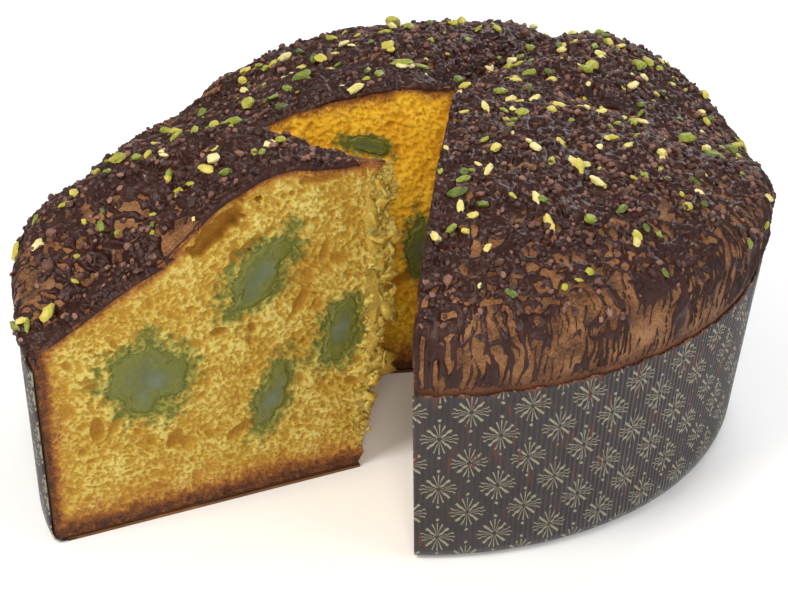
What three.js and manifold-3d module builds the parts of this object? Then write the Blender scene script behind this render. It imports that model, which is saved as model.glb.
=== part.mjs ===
// A glazed panettone of the low, wide kind in its paper mould, with one wedge cut out of it.
// The wedge stands in front of its notch, turned so that one of its cut faces is in view.
// Millimetres, +Z up. Each mesh is one closed piece.

import * as THREE from 'three';
import { mergeVertices } from 'three/addons/utils/BufferGeometryUtils.js';
import Module from 'manifold-3d';

const wasm = await Module();
wasm.setup();

// Driving dimensions, in millimetres and degrees. Angles run anticlockwise from +X, seen from above.
const GAP = 0.3;                 // air between pieces that touch

const PAPER = 0.9;               // corrugated mould paper
const BAND_HEIGHT = 60;
const BAND_FOOT_RADIUS = 102;
const FOOT_CURVE = 4;            // rounding where the band turns under the loaf
const BASE_RADIUS = 97;          // paper disc glued under the band's turned-in foot

const DOME_WIDEST = 76;          // height of the dome's widest ring, which bulges over the paper's rim
const DOME_RISE = 29.5;          // from that ring to the crown
const DOME_TUCK = 80;            // vertical half axis of the ellipse below that ring
const DOME_EDGE = 63;            // where the glaze ends, a little above the paper's rim
const RELIEF_DEPTH = 13;         // height above that edge over which lobes and folds fade in
const RELIEF_LIMIT = 0.85;       // share of its height above that edge that a hollow may take
const GLAZE = 1.4;

const NOTCH_APEX = new THREE.Vector2(10.5, 4);
const NOTCH_FACES = { left: 187, right: 262.6 };

const WEDGE_TIP = new THREE.Vector2(-16, -52);
const WEDGE_FRONT_ANGLE = 204.4;
const WEDGE_ANGLE = 45;
const TIP_REACH = 6;             // torn crumb that stands past the wedge's tip
const TIP_WIDTH = 2;
const TIP_LEAN = 8;              // degrees that the torn tip leans, because its foot broke off short
const TIP_FOOT = 4;              // where the torn tip meets the table, behind the tip

// The loaf, and the wedge, whose paper sprang inwards when it was cut: radius of the band's rim and
// of the dome's widest ring; lobes and hollows of the risen dough, as angle and radius of the centre,
// spread and rise; folds between the lobes, as angle and radius of each end, half width and depth.
const LOAF = {
  rimRadius: 108,
  domeRadius: 110.5,
  lobes: [
    [45, 84, 36, 4.5],
    [165, 92, 48, -13.5],
    [175, 66, 22, -3],
    [148, 104, 26, -10],
    [128, 90, 30, -6],
    [96, 92, 26, -2.5],
    [68, 88, 18, -1.5],
    [10, 96, 28, -10],
    [250, 94, 28, -3],
    [300, 62, 30, 2.5],
  ],
  folds: [
    [57, 104, 62, 22, 9, 10],
    [62, 22, 40, 58, 7, 3],
    [352, 88, 14, 40, 8, 4],
    [140, 96, 125, 40, 8, 3],
    [300, 100, 318, 62, 8, 2.5],
  ],
};
const WEDGE = {
  rimRadius: 103,
  domeRadius: 104.5,
  lobes: [
    [0, 86, 30, -17.5],
    [0, 62, 9, -4],
    [0, 102, 14, -4],
    [0, 30, 16, 2.5],
    [-42, 40, 18, 7],
    [-45, 98, 22, -6],
    [-25, 66, 18, 3],
  ],
  folds: [
    [-8, 92, -22, 52, 5, 4],
  ],
};

// Candied fruit: the face that cuts it, distance along the face and height of its centre,
// half axes along, into and up the face, and tilt in the plane of the face.
const FRUIT = [
  { name: 'candied_fruit_front_1', face: 'front', along: 69, height: 48.5, half: [13, 9, 12.5], tilt: 0 },
  { name: 'candied_fruit_front_2', face: 'front', along: 34, height: 75, half: [15, 8, 7.5], tilt: 46 },
  { name: 'candied_fruit_front_3', face: 'front', along: 9.5, height: 50, half: [7, 5, 11.5], tilt: -20 },
  { name: 'candied_fruit_front_4', face: 'front', along: 31.5, height: 33, half: [5.5, 6, 13], tilt: -21 },
  { name: 'candied_fruit_back_1', face: 'back', along: 52, height: 38, half: [11, 8, 9], tilt: 20 },
  { name: 'candied_fruit_back_2', face: 'back', along: 80, height: 60, half: [9, 7, 7], tilt: -30 },
  { name: 'candied_fruit_left_1', face: 'left', along: 28.5, height: 84.5, half: [8, 6, 3.6], tilt: -20 },
  { name: 'candied_fruit_left_2', face: 'left', along: 11, height: 47, half: [5, 7, 12], tilt: 0 },
  { name: 'candied_fruit_right_1', face: 'right', along: 62, height: 58, half: [12, 8, 8], tilt: 25 },
  { name: 'candied_fruit_right_2', face: 'right', along: 26, height: 32, half: [8, 7, 9], tilt: 0 },
];
const FRUIT_DEPTH = 2;           // how far behind the face a piece has its centre

const PISTACHIO_HALF = [2.7, 2, 1.2];
const PISTACHIO_TRIES = 40;      // places tried over the loaf, some of them lost to the notch
const WEDGE_PISTACHIO_TRIES = 72;
const PISTACHIO_SPREAD = 94;     // radius within which they fell
const PISTACHIO_CLEARANCE = 0.5;
const GOLDEN_ANGLE = 137.508;

// Fineness of the curved surfaces.
const AROUND = 80;
const TUCK_STEPS = 3;
const CROWN_STEPS = 12;
const FOOT_STEPS = 3;

// Cutting blocks reach well past the loaf.
const REACH = 400;
const CUT_DEPTH = 20;
const CUT_HEIGHT = 180;

const CRUMB = new THREE.MeshStandardMaterial({ color: 0xd9b545, roughness: 0.9, metalness: 0 });
const CHOCOLATE = new THREE.MeshStandardMaterial({ color: 0x38241f, roughness: 0.45, metalness: 0 });
const MOULD_PAPER = new THREE.MeshStandardMaterial({ color: 0x433a37, roughness: 0.7, metalness: 0 });
const CANDIED = new THREE.MeshStandardMaterial({ color: 0x64724d, roughness: 0.35, metalness: 0 });
const PISTACHIO = new THREE.MeshStandardMaterial({ color: 0xb2ba45, roughness: 0.6, metalness: 0 });

const radians = THREE.MathUtils.degToRad;

function polar(angle, radius) {
  return new THREE.Vector2(Math.cos(radians(angle)), Math.sin(radians(angle))).multiplyScalar(radius);
}

// Closed solids and cuts.

function toSolid(geometry) {
  const bare = geometry.clone();
  bare.deleteAttribute('normal');
  bare.deleteAttribute('uv');
  const merged = mergeVertices(bare, 1e-4);
  const corners = merged.index.array;
  const triangles = [];
  for (let i = 0; i < corners.length; i += 3) {
    const [a, b, c] = [corners[i], corners[i + 1], corners[i + 2]];
    if (a !== b && b !== c && c !== a) triangles.push(a, b, c);
  }
  return new wasm.Manifold(new wasm.Mesh({
    numProp: 3,
    vertProperties: merged.getAttribute('position').array,
    triVerts: new Uint32Array(triangles),
  }));
}

function toGeometry(solid) {
  const { vertProperties, triVerts } = solid.getMesh();
  const geometry = new THREE.BufferGeometry();
  geometry.setAttribute('position', new THREE.BufferAttribute(vertProperties, 3));
  geometry.setIndex(new THREE.BufferAttribute(triVerts, 1));
  geometry.computeVertexNormals();
  return geometry;
}

function namedMesh(name, geometry, material) {
  const mesh = new THREE.Mesh(geometry, material);
  mesh.name = name;
  return mesh;
}

// Turns an outline, given from its foot to its crown, round the upright axis.
function turned(outline) {
  const geometry = new THREE.LatheGeometry(outline, AROUND);
  geometry.rotateX(Math.PI / 2);
  return geometry;
}

function upright(outline) {
  const geometry = new THREE.ExtrudeGeometry(new THREE.Shape(outline), {
    depth: CUT_HEIGHT,
    bevelEnabled: false,
  });
  geometry.translate(0, 0, -CUT_DEPTH);
  return geometry;
}

// Outlines of the round loaf. Each curve is set in from the outermost surface by an inset.

function domeCurve({ domeRadius }, inset) {
  const radius = domeRadius - inset;
  const tuckHeight = DOME_TUCK - inset;
  const start = -Math.asin((DOME_WIDEST - DOME_EDGE) / tuckHeight);
  const tuck = new THREE.EllipseCurve(0, DOME_WIDEST, radius, tuckHeight, start, 0);
  const crown = new THREE.EllipseCurve(0, DOME_WIDEST, radius, DOME_RISE - inset, 0, Math.PI / 2);
  return [...tuck.getPoints(TUCK_STEPS), ...crown.getPoints(CROWN_STEPS).slice(1)];
}

function wallCurve({ rimRadius }, inset) {
  const turn = FOOT_CURVE - inset;
  const centre = BAND_FOOT_RADIUS - FOOT_CURVE;
  const foot = new THREE.EllipseCurve(centre, FOOT_CURVE + GAP, turn, turn, -Math.PI / 2, 0);
  return [...foot.getPoints(FOOT_STEPS), new THREE.Vector2(rimRadius - inset, BAND_HEIGHT)];
}

function breadOutline(form) {
  const wall = wallCurve(form, PAPER + GAP);
  return [new THREE.Vector2(0, wall[0].y), ...wall, ...domeCurve(form, GLAZE + GAP)];
}

function domeOutline(form, inset, floor) {
  const curve = domeCurve(form, inset);
  return [new THREE.Vector2(0, floor), new THREE.Vector2(curve[0].x, floor), ...curve];
}

function bandOutline(form) {
  const edge = BASE_RADIUS + GAP;
  const outer = [new THREE.Vector2(edge, GAP), ...wallCurve(form, 0)];
  const inner = [...wallCurve(form, PAPER).reverse(), new THREE.Vector2(edge, GAP + PAPER)];
  return [...outer, ...inner, outer[0].clone()];
}

function baseOutline() {
  return [
    new THREE.Vector2(0, 0),
    new THREE.Vector2(BASE_RADIUS, 0),
    new THREE.Vector2(BASE_RADIUS, PAPER),
    new THREE.Vector2(0, PAPER),
  ];
}

// The dome's lobes and folds, as a height added over each point of the plan.

function distanceToFold(point, [fromAngle, fromRadius, toAngle, toRadius]) {
  const from = polar(fromAngle, fromRadius);
  const along = polar(toAngle, toRadius).sub(from);
  const share = THREE.MathUtils.clamp(point.clone().sub(from).dot(along) / along.lengthSq(), 0, 1);
  return point.distanceTo(from.addScaledVector(along, share));
}

function relief(point, { lobes, folds }) {
  let rise = 0;
  for (const [angle, radius, spread, height] of lobes) {
    rise += height * Math.exp(-((point.distanceTo(polar(angle, radius)) / spread) ** 2));
  }
  for (const fold of folds) {
    const [halfWidth, depth] = fold.slice(4);
    rise -= depth * Math.exp(-((distanceToFold(point, fold) / halfWidth) ** 2));
  }
  return rise;
}

function raiseDome(geometry, form, inset) {
  const position = geometry.getAttribute('position');
  const scale = form.domeRadius / (form.domeRadius - inset);
  for (let i = 0; i < position.count; i += 1) {
    const above = position.getZ(i) - DOME_WIDEST;
    const axis = above > 0 ? DOME_RISE : DOME_TUCK;
    const room = Math.max(DOME_WIDEST + (above * axis) / (axis - inset) - DOME_EDGE, 0);
    const share = Math.min(room / RELIEF_DEPTH, 1);
    const point = new THREE.Vector2(position.getX(i), position.getY(i)).multiplyScalar(scale);
    const lift = Math.max(share * relief(point, form), -RELIEF_LIMIT * room);
    position.setZ(i, position.getZ(i) + lift);
  }
  return geometry;
}

// Cutting blocks.

function sector(apex, fromAngle, toAngle) {
  const far = [polar(fromAngle, REACH).add(apex), polar(toAngle, REACH).add(apex)];
  return toSolid(upright([apex, ...far]));
}

// The wedge in its own frame: tip at the origin, front face along +X, crumb on its -Y side.
function wedgeBlock() {
  const tipFront = new THREE.Vector2(-TIP_REACH, 0);
  const tipBack = new THREE.Vector2(-TIP_REACH, -TIP_WIDTH);
  const block = toSolid(upright([
    tipBack,
    polar(-WEDGE_ANGLE, REACH).add(new THREE.Vector2(0, -TIP_WIDTH)),
    new THREE.Vector2(REACH, 0),
    tipFront,
  ]));
  const brokenOff = new THREE.BoxGeometry(REACH, REACH, REACH);
  brokenOff.translate(-REACH / 2, 0, 0);
  brokenOff.rotateY(radians(-TIP_LEAN));
  brokenOff.translate(TIP_FOOT, 0, 0);
  return block.subtract(toSolid(brokenOff));
}

// A face's own frame: X along the face from its apex, Z up.
function faceMatrix(apex, angle) {
  return new THREE.Matrix4()
    .makeTranslation(apex.x, apex.y, 0)
    .multiply(new THREE.Matrix4().makeRotationZ(radians(angle)));
}

const ORIGIN = new THREE.Vector2(0, 0);
const FACES = {
  front: { matrix: faceMatrix(ORIGIN, 0), inward: -1 },
  back: { matrix: faceMatrix(new THREE.Vector2(0, -TIP_WIDTH), -WEDGE_ANGLE), inward: 1 },
  left: { matrix: faceMatrix(NOTCH_APEX, NOTCH_FACES.left), inward: -1 },
  right: { matrix: faceMatrix(NOTCH_APEX, NOTCH_FACES.right), inward: 1 },
};

function fruitBody({ face, along, height, half, tilt }, margin) {
  const { matrix, inward } = FACES[face];
  const geometry = new THREE.SphereGeometry(1, 14, 10);
  geometry.scale(half[0] + margin, half[1] + margin, half[2] + margin);
  geometry.rotateY(radians(tilt));
  geometry.translate(along, inward * FRUIT_DEPTH, height);
  geometry.applyMatrix4(matrix);
  return toSolid(geometry);
}

// Cuts the round pieces with one block and sets the fruit into the bread.
function cutPieces(prefix, form, fruits, cut) {
  const outer = raiseDome(turned(domeOutline(form, 0, DOME_EDGE)), form, 0);
  const inner = raiseDome(turned(domeOutline(form, GLAZE, BAND_HEIGHT)), form, GLAZE);
  const glaze = cut(toSolid(outer)).subtract(toSolid(inner));
  const pieces = [
    namedMesh(`${prefix}_paper_band`, toGeometry(cut(toSolid(turned(bandOutline(form))))), MOULD_PAPER),
    namedMesh(`${prefix}_paper_base`, toGeometry(cut(toSolid(turned(baseOutline())))), MOULD_PAPER),
    namedMesh(`${prefix}_glaze`, toGeometry(glaze), CHOCOLATE),
  ];
  let bread = cut(toSolid(raiseDome(turned(breadOutline(form)), form, GLAZE + GAP)));
  for (const fruit of fruits) {
    const piece = fruitBody(fruit, 0).intersect(bread);
    pieces.push(namedMesh(fruit.name, toGeometry(piece), CANDIED));
    bread = bread.subtract(fruitBody(fruit, GAP));
  }
  pieces.push(namedMesh(prefix, toGeometry(bread), CRUMB));
  return pieces;
}

// Chopped pistachios.

// A repeatable number from 0 to 1 for each whole number.
function scatter(seed) {
  const value = Math.sin(seed * 12.9898 + 78.233) * 43758.5453;
  return value - Math.floor(value);
}

function pistachioGeometry(seed) {
  const geometry = new THREE.IcosahedronGeometry(1, 0);
  const [length, width, thickness] = PISTACHIO_HALF.map((half, i) => half * (0.75 + 0.5 * scatter(seed + i)));
  const position = geometry.getAttribute('position');
  const corner = new THREE.Vector3();
  for (let i = 0; i < position.count; i += 1) {
    corner.fromBufferAttribute(position, i);
    const place = Math.round(corner.x * 7 + corner.y * 13 + corner.z * 29);
    corner.multiplyScalar(0.8 + 0.2 * scatter(seed * 3 + place));
    position.setXYZ(i, corner.x * length, corner.y * width, corner.z * thickness);
  }
  return toGeometry(toSolid(geometry));
}

// Drops shards on a glaze at places spread by the golden angle, and leaves out those that miss it.
function pistachios(prefix, glaze, tries, firstSeed) {
  const ray = new THREE.Raycaster();
  const down = new THREE.Vector3(0, 0, -1);
  const shards = [];
  glaze.updateMatrixWorld(true);
  for (let i = 0; i < tries; i += 1) {
    const place = polar(i * GOLDEN_ANGLE, PISTACHIO_SPREAD * Math.sqrt((i + 0.5) / tries));
    ray.set(new THREE.Vector3(place.x, place.y, CUT_HEIGHT), down);
    const [hit] = ray.intersectObject(glaze);
    const rim = [0, 90, 180, 270].every((angle) => {
      const edge = polar(angle, 2 * PISTACHIO_HALF[0]).add(place);
      ray.set(new THREE.Vector3(edge.x, edge.y, CUT_HEIGHT), down);
      const [near] = ray.intersectObject(glaze);
      return near && near.point.z > DOME_WIDEST;
    });
    if (!hit || !rim) continue;
    const geometry = pistachioGeometry(firstSeed + 10 * i);
    geometry.rotateZ(radians(360 * scatter(firstSeed + i)));
    geometry.computeBoundingBox();
    const shard = namedMesh(`${prefix}_${String(shards.length + 1).padStart(2, '0')}`, geometry, PISTACHIO);
    shard.quaternion.setFromUnitVectors(new THREE.Vector3(0, 0, 1), hit.face.normal);
    shard.position.copy(hit.point);
    shard.position.addScaledVector(hit.face.normal, PISTACHIO_CLEARANCE - geometry.boundingBox.min.z);
    shards.push(shard);
  }
  return shards;
}

function group(pieces) {
  const held = new THREE.Group();
  held.add(...pieces);
  return held;
}

function find(pieces, name) {
  return pieces.find((piece) => piece.name === name);
}

// The loaf with its notch.
const notch = sector(NOTCH_APEX, NOTCH_FACES.left, NOTCH_FACES.right);
const loafFruit = FRUIT.filter(({ face }) => face === 'left' || face === 'right');
const loafPieces = cutPieces('loaf', LOAF, loafFruit, (solid) => solid.subtract(notch));
loafPieces.push(...pistachios('pistachio', find(loafPieces, 'loaf_glaze'), PISTACHIO_TRIES, 100));

// The wedge, built about its own tip and then stood in front of the notch.
const block = wedgeBlock();
const wedgeFruit = FRUIT.filter(({ face }) => face === 'front' || face === 'back');
const wedgePieces = cutPieces('slice', WEDGE, wedgeFruit, (solid) => solid.intersect(block));
const wedgeGlaze = find(wedgePieces, 'slice_glaze');
wedgePieces.push(...pistachios('slice_pistachio', wedgeGlaze, WEDGE_PISTACHIO_TRIES, 900));
const wedge = group(wedgePieces);
wedge.rotation.z = radians(WEDGE_FRONT_ANGLE);
wedge.position.set(WEDGE_TIP.x, WEDGE_TIP.y, 0);

// The origin goes to the middle of the underside of the whole.
const panettone = group([...loafPieces, wedge]);
panettone.updateMatrixWorld(true);
const middle = new THREE.Box3().setFromObject(panettone, true).getCenter(new THREE.Vector3());
panettone.position.set(-middle.x, -middle.y, 0);

export default panettone;
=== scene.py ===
"""A glazed panettone in its paper mould, with one wedge cut out and standing in front of its notch.

Every length is in millimetres until a mesh is placed, and in metres after that.
"""

import logging
import math
from dataclasses import dataclass, field, replace
from enum import Enum
from typing import ClassVar

import bmesh
import bpy
import numpy as np
from mathutils import Matrix, Vector


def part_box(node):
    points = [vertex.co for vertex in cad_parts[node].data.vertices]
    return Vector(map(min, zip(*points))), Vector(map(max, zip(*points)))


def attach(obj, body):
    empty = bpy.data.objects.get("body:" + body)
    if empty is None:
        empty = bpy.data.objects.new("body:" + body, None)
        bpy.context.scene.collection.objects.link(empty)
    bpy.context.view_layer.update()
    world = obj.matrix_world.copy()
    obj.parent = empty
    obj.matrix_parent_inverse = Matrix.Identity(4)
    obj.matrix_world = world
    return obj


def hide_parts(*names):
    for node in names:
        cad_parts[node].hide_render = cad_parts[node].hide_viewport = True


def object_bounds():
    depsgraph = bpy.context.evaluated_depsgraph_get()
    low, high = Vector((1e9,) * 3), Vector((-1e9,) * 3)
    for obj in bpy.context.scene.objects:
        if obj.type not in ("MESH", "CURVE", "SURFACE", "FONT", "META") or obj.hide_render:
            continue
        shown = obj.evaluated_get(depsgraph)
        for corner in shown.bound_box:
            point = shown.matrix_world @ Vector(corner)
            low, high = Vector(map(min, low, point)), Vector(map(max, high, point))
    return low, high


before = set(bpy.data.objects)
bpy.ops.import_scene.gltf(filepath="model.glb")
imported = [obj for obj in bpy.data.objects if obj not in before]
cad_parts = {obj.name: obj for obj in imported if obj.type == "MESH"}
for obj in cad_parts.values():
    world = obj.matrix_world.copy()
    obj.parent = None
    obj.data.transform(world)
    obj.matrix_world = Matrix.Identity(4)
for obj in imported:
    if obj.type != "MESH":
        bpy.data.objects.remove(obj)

LOG = logging.getLogger("panettone")
CAD_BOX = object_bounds()
BODY = "root"
MM = 0.001


# ---------------------------------------------------------------- sizes of the bread and its paper


@dataclass(frozen=True)
class Mould:
    """The low 1 kg mould: a corrugated band that flares, and a disc under the loaf."""

    paper: float = 0.9
    height: float = 60.0
    foot_radius: float = 102.0
    rim_radius: float = 108.0
    foot_curve: float = 4.0
    gap: float = 0.3

    def wall_radius(self, height: np.ndarray, inset: float) -> np.ndarray:
        """Radius of the wall at a height.

        Args:
            height: heights above the table.
            inset: how far inside the band's outer face the wall lies.

        Returns:
            The radii.
        """
        centre = self.foot_radius - self.foot_curve
        turn = self.foot_curve - inset
        low = self.foot_curve + self.gap
        drop = np.clip((low - height) / turn, 0.0, 1.0)
        foot = centre + turn * np.sqrt(1.0 - drop**2)
        share = np.clip((height - low) / (self.height - low), 0.0, 1.0)
        flare = (self.rim_radius - self.foot_radius) * share
        return foot + flare


LOAF_MOULD = Mould()
WEDGE_MOULD = Mould(rim_radius=103.0)
GLAZE_DEPTH = 1.4        # from the dome's outer face down to the crust
CRUST_INSET = GLAZE_DEPTH + LOAF_MOULD.gap
BREAD_FLOOR = LOAF_MOULD.gap + LOAF_MOULD.paper + LOAF_MOULD.gap
SLAB_DEPTH = 8.0         # how far a detailed cut face runs back into the bread
NORMAL_STEP = 0.6        # how far apart the points are that give a normal
LEAST_TURN_RADIUS = 8.0  # nearer to the axis than this, that step round it stops shrinking
RIM_DARK_TOP = 66.0        # the crust is darker from the paper's rim up to this height
RIM_DARK_FADE = 6.0
MERGE_DISTANCE = 2e-6    # metres


def polar(angle: float, radius: float) -> tuple[float, float]:
    """The plan point at an angle in degrees and a radius."""
    return radius * math.cos(math.radians(angle)), radius * math.sin(math.radians(angle))


def smooth(value: np.ndarray, low: float, high: float) -> np.ndarray:
    """A smooth step from 0 at low to 1 at high."""
    share = np.clip((value - low) / (high - low), 0.0, 1.0)
    return share * share * (3.0 - 2.0 * share)


# ---------------------------------------------------------------- noise


class Noise:
    """Repeatable gradient noise on arrays of points."""

    CELLS = 256

    def __init__(self, seed: int) -> None:
        """Draws the gradient of each lattice cell.

        Args:
            seed: the number that fixes the pattern.
        """
        rng = np.random.default_rng(seed)
        slopes = rng.normal(size=(self.CELLS, 3))
        self.slopes = slopes / np.linalg.norm(slopes, axis=1, keepdims=True)
        self.order = rng.permutation(self.CELLS)

    def at(self, points: np.ndarray) -> np.ndarray:
        """Noise of one octave.

        Args:
            points: an array (..., 3), in lattice cells.

        Returns:
            Values from about -1 to 1.
        """
        cell = np.floor(points).astype(np.int64)
        local = points - cell
        fade = local**3 * (local * (local * 6.0 - 15.0) + 10.0)
        total = np.zeros(points.shape[:-1])
        for corner in np.ndindex(2, 2, 2):
            key = self.order[(cell[..., 0] + corner[0]) % self.CELLS]
            key = self.order[(key + cell[..., 1] + corner[1]) % self.CELLS]
            key = self.order[(key + cell[..., 2] + corner[2]) % self.CELLS]
            value = np.einsum("...i,...i->...", self.slopes[key], local - np.array(corner))
            weight = np.ones(points.shape[:-1])
            for axis, side in enumerate(corner):
                weight = weight * (fade[..., axis] if side else 1.0 - fade[..., axis])
            total += weight * value
        return total * 1.6

    def fractal(self, points: np.ndarray, size: float, octaves: int = 3) -> np.ndarray:
        """Noise summed over octaves, each half the size of the last.

        Args:
            points: an array (..., 3) in millimetres.
            size: the size of the largest cells, in millimetres.
            octaves: how many layers.

        Returns:
            Values from about -1 to 1.
        """
        total = np.zeros(points.shape[:-1])
        for octave in range(octaves):
            scale = 2.0**octave / size
            total += self.at(points * scale + 17.3 * octave) / 2.0**octave
        return total


# ---------------------------------------------------------------- the risen dome


@dataclass(frozen=True)
class Dome:
    """The top of the loaf or the wedge, in its own frame, swept round the apex of its cut.

    Angles run anticlockwise from the first cut face to the last one.
    """

    apex: tuple[float, float]
    first: float
    last: float
    lobes: tuple[tuple[float, ...], ...]
    folds: tuple[tuple[float, ...], ...]
    mould: Mould
    bumps: Noise
    radius: float = 110.5
    widest: float = 76.0
    rise: float = 29.5
    tuck: float = 80.0
    edge: float = 63.0
    relief_depth: float = 13.0
    relief_limit: float = 0.85
    bump_height: float = 1.0
    bump_size: float = 17.0

    def reach(self, start: np.ndarray, angle: np.ndarray, radius: np.ndarray) -> np.ndarray:
        """Distance from a plan point to a circle about the axis.

        Args:
            start: plan points, an array (..., 2).
            angle: directions in degrees.
            radius: the circle's radius.

        Returns:
            The distances along those directions.
        """
        way = np.stack([np.cos(np.radians(angle)), np.sin(np.radians(angle))], axis=-1)
        along = np.sum(start * way, axis=-1)
        inside = along**2 - np.sum(start * start, axis=-1) + radius**2
        return np.sqrt(np.maximum(inside, 0.0)) - along

    def relief(self, x: np.ndarray, y: np.ndarray) -> np.ndarray:
        """Height that the lobes and folds add at plan points."""
        rise = np.zeros(np.broadcast(x, y).shape)
        for angle, radius, spread, height in self.lobes:
            cx, cy = polar(angle, radius)
            rise += height * np.exp(-((x - cx) ** 2 + (y - cy) ** 2) / spread**2)
        for angle, radius, end_angle, end_radius, half_width, depth in self.folds:
            ax, ay = polar(angle, radius)
            bx, by = polar(end_angle, end_radius)
            dx, dy = bx - ax, by - ay
            share = np.clip(((x - ax) * dx + (y - ay) * dy) / (dx * dx + dy * dy), 0.0, 1.0)
            gap = (x - ax - share * dx) ** 2 + (y - ay - share * dy) ** 2
            rise -= depth * np.exp(-gap / half_width**2)
        plan = np.stack([x, y, np.zeros_like(rise)], axis=-1)
        return rise + self.bump_height * self.bumps.fractal(plan, self.bump_size, 3)

    def lifted(self, x: np.ndarray, y: np.ndarray, z: np.ndarray, inset: float) -> np.ndarray:
        """Heights after the lobes and folds.

        Args:
            x: plan coordinates.
            y: plan coordinates.
            z: heights of the plain dome.
            inset: how far inside the outer surface these points lie.

        Returns:
            The new heights.
        """
        above = z - self.widest
        axis = np.where(above > 0.0, self.rise, self.tuck)
        room = np.maximum(self.widest + above * axis / (axis - inset) - self.edge, 0.0)
        share = np.minimum(room / self.relief_depth, 1.0)
        scale = self.radius / (self.radius - inset)
        return z + np.maximum(share * self.relief(x * scale, y * scale), -self.relief_limit * room)

    def crown_height(self, x: np.ndarray, y: np.ndarray, inset: float) -> np.ndarray:
        """Height of the dome above plan points inside its widest ring."""
        radius = self.radius - inset
        ratio = np.clip((x * x + y * y) / radius**2, 0.0, 1.0)
        plain = self.widest + (self.rise - inset) * np.sqrt(1.0 - ratio)
        return self.lifted(x, y, plain, inset)

    def outline(self, inset: float) -> tuple[np.ndarray, np.ndarray, np.ndarray]:
        """The plain profile, as arc length from the edge, share of the reach, and ring radius."""
        radius, tuck = self.radius - inset, self.tuck - inset
        low = -math.asin((self.widest - self.edge) / tuck)
        below = np.linspace(low, 0.0, 40)
        above = np.linspace(0.0, math.pi / 2.0, 400)[1:]
        share = np.concatenate([np.ones(below.size), np.cos(above)])
        ring = np.concatenate([radius * np.cos(below), np.full(above.size, radius)])
        heights = np.concatenate([tuck * np.sin(below), (self.rise - inset) * np.sin(above)])
        steps = np.hypot(np.diff(share * ring), np.diff(heights))
        return np.concatenate([[0.0], np.cumsum(steps)]), share, ring

    def length(self) -> float:
        """Arc length of the profile from its edge to the crown."""
        return float(self.outline(0.0)[0][-1])

    def surface(self, angle: np.ndarray, distance: np.ndarray, inset: float) -> np.ndarray:
        """Points on the dome.

        Args:
            angle: directions from the apex, in degrees.
            distance: arc length up from the edge.
            inset: how far inside the outer surface to lie.

        Returns:
            Points in the dome's own frame, an array (..., 3).
        """
        arc, share, ring = self.outline(inset)
        share = np.interp(distance, arc, share)
        ring = np.interp(distance, arc, ring)
        angle, share, ring = np.broadcast_arrays(angle, share, ring)
        apex = np.array(self.apex)
        away = share * self.reach(apex, angle, ring)
        x = apex[0] + away * np.cos(np.radians(angle))
        y = apex[1] + away * np.sin(np.radians(angle))
        full = self.radius - inset
        above = (self.rise - inset) * np.sqrt(np.maximum(1.0 - (x * x + y * y) / full**2, 0.0))
        below = -(self.tuck - inset) * np.sqrt(np.maximum(1.0 - (ring / full) ** 2, 0.0))
        z = self.widest + np.where(ring < full - 1e-6, below, above)
        return np.stack([x, y, self.lifted(x, y, z, inset)], axis=-1)

    def cut_distance(self, points: np.ndarray) -> np.ndarray:
        """Distance of points from the nearer cut face."""
        x, y = points[..., 0] - self.apex[0], points[..., 1] - self.apex[1]
        gaps = []
        for angle in (self.first, self.last):
            cos, sin = math.cos(math.radians(angle)), math.sin(math.radians(angle))
            is_ahead = cos * x + sin * y > 0.0
            gaps.append(np.where(is_ahead, np.abs(cos * y - sin * x), np.hypot(x, y)))
        return np.minimum(*gaps)

    def grid_frame(
        self, angle: np.ndarray, distance: np.ndarray, inset: float
    ) -> tuple[np.ndarray, np.ndarray]:
        """Points on the dome over a grid whose rows run upwards, and the outward normals there."""
        here = self.surface(angle, distance, inset)
        around = np.gradient(here, axis=1)
        upward = np.gradient(here, axis=0)
        normal = np.cross(around, upward)
        size = np.linalg.norm(normal, axis=-1, keepdims=True)
        flat = np.array([0.0, 0.0, 1.0])
        return here, np.where(size > 1e-5, normal / np.maximum(size, 1e-9), flat)

    def frame_at(
        self, angle: np.ndarray, distance: np.ndarray, inset: float
    ) -> tuple[np.ndarray, np.ndarray]:
        """Points on the dome at single places, and the outward normals there."""
        here = self.surface(angle, distance, inset)
        step = NORMAL_STEP
        turn = np.degrees(step / np.maximum(np.hypot(here[..., 0], here[..., 1]), LEAST_TURN_RADIUS))
        around = self.surface(angle + turn, distance, inset) - self.surface(angle - turn, distance, inset)
        upward = self.surface(angle, distance + step, inset) - self.surface(angle, distance - step, inset)
        normal = np.cross(around, upward)
        size = np.linalg.norm(normal, axis=-1, keepdims=True)
        normal = np.where(size > 1e-6, normal / np.maximum(size, 1e-9), np.array([0.0, 0.0, 1.0]))
        return here, normal


LOAF_DOME = Dome(
    apex=(10.5, 4.0),
    first=262.6 - 360.0,
    last=187.0,
    lobes=(
        (45, 84, 36, 4.5),
        (165, 92, 48, -13.5),
        (175, 66, 22, -3),
        (148, 104, 26, -10),
        (128, 90, 30, -6),
        (96, 92, 26, -2.5),
        (68, 88, 18, -1.5),
        (10, 96, 28, -10),
        (250, 94, 28, -3),
        (300, 62, 30, 2.5),
    ),
    folds=(
        (57, 104, 62, 22, 9, 10),
        (62, 22, 40, 58, 7, 3),
        (352, 88, 14, 40, 8, 4),
        (140, 96, 125, 40, 8, 3),
        (300, 100, 318, 62, 8, 2.5),
    ),
    mould=LOAF_MOULD,
    bumps=Noise(7),
)
WEDGE_DOME = Dome(
    apex=(0.0, 0.0),
    first=-45.0,
    last=0.0,
    lobes=(
        (0, 86, 30, -17.5),
        (0, 62, 9, -4),
        (0, 102, 14, -4),
        (0, 30, 16, 2.5),
        (-42, 40, 18, 7),
        (-45, 98, 22, -6),
        (-25, 66, 18, 3),
    ),
    folds=((-8, 92, -22, 52, 5, 4),),
    mould=WEDGE_MOULD,
    bumps=Noise(8),
    bump_height=0.7,
    radius=104.5,
)


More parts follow.
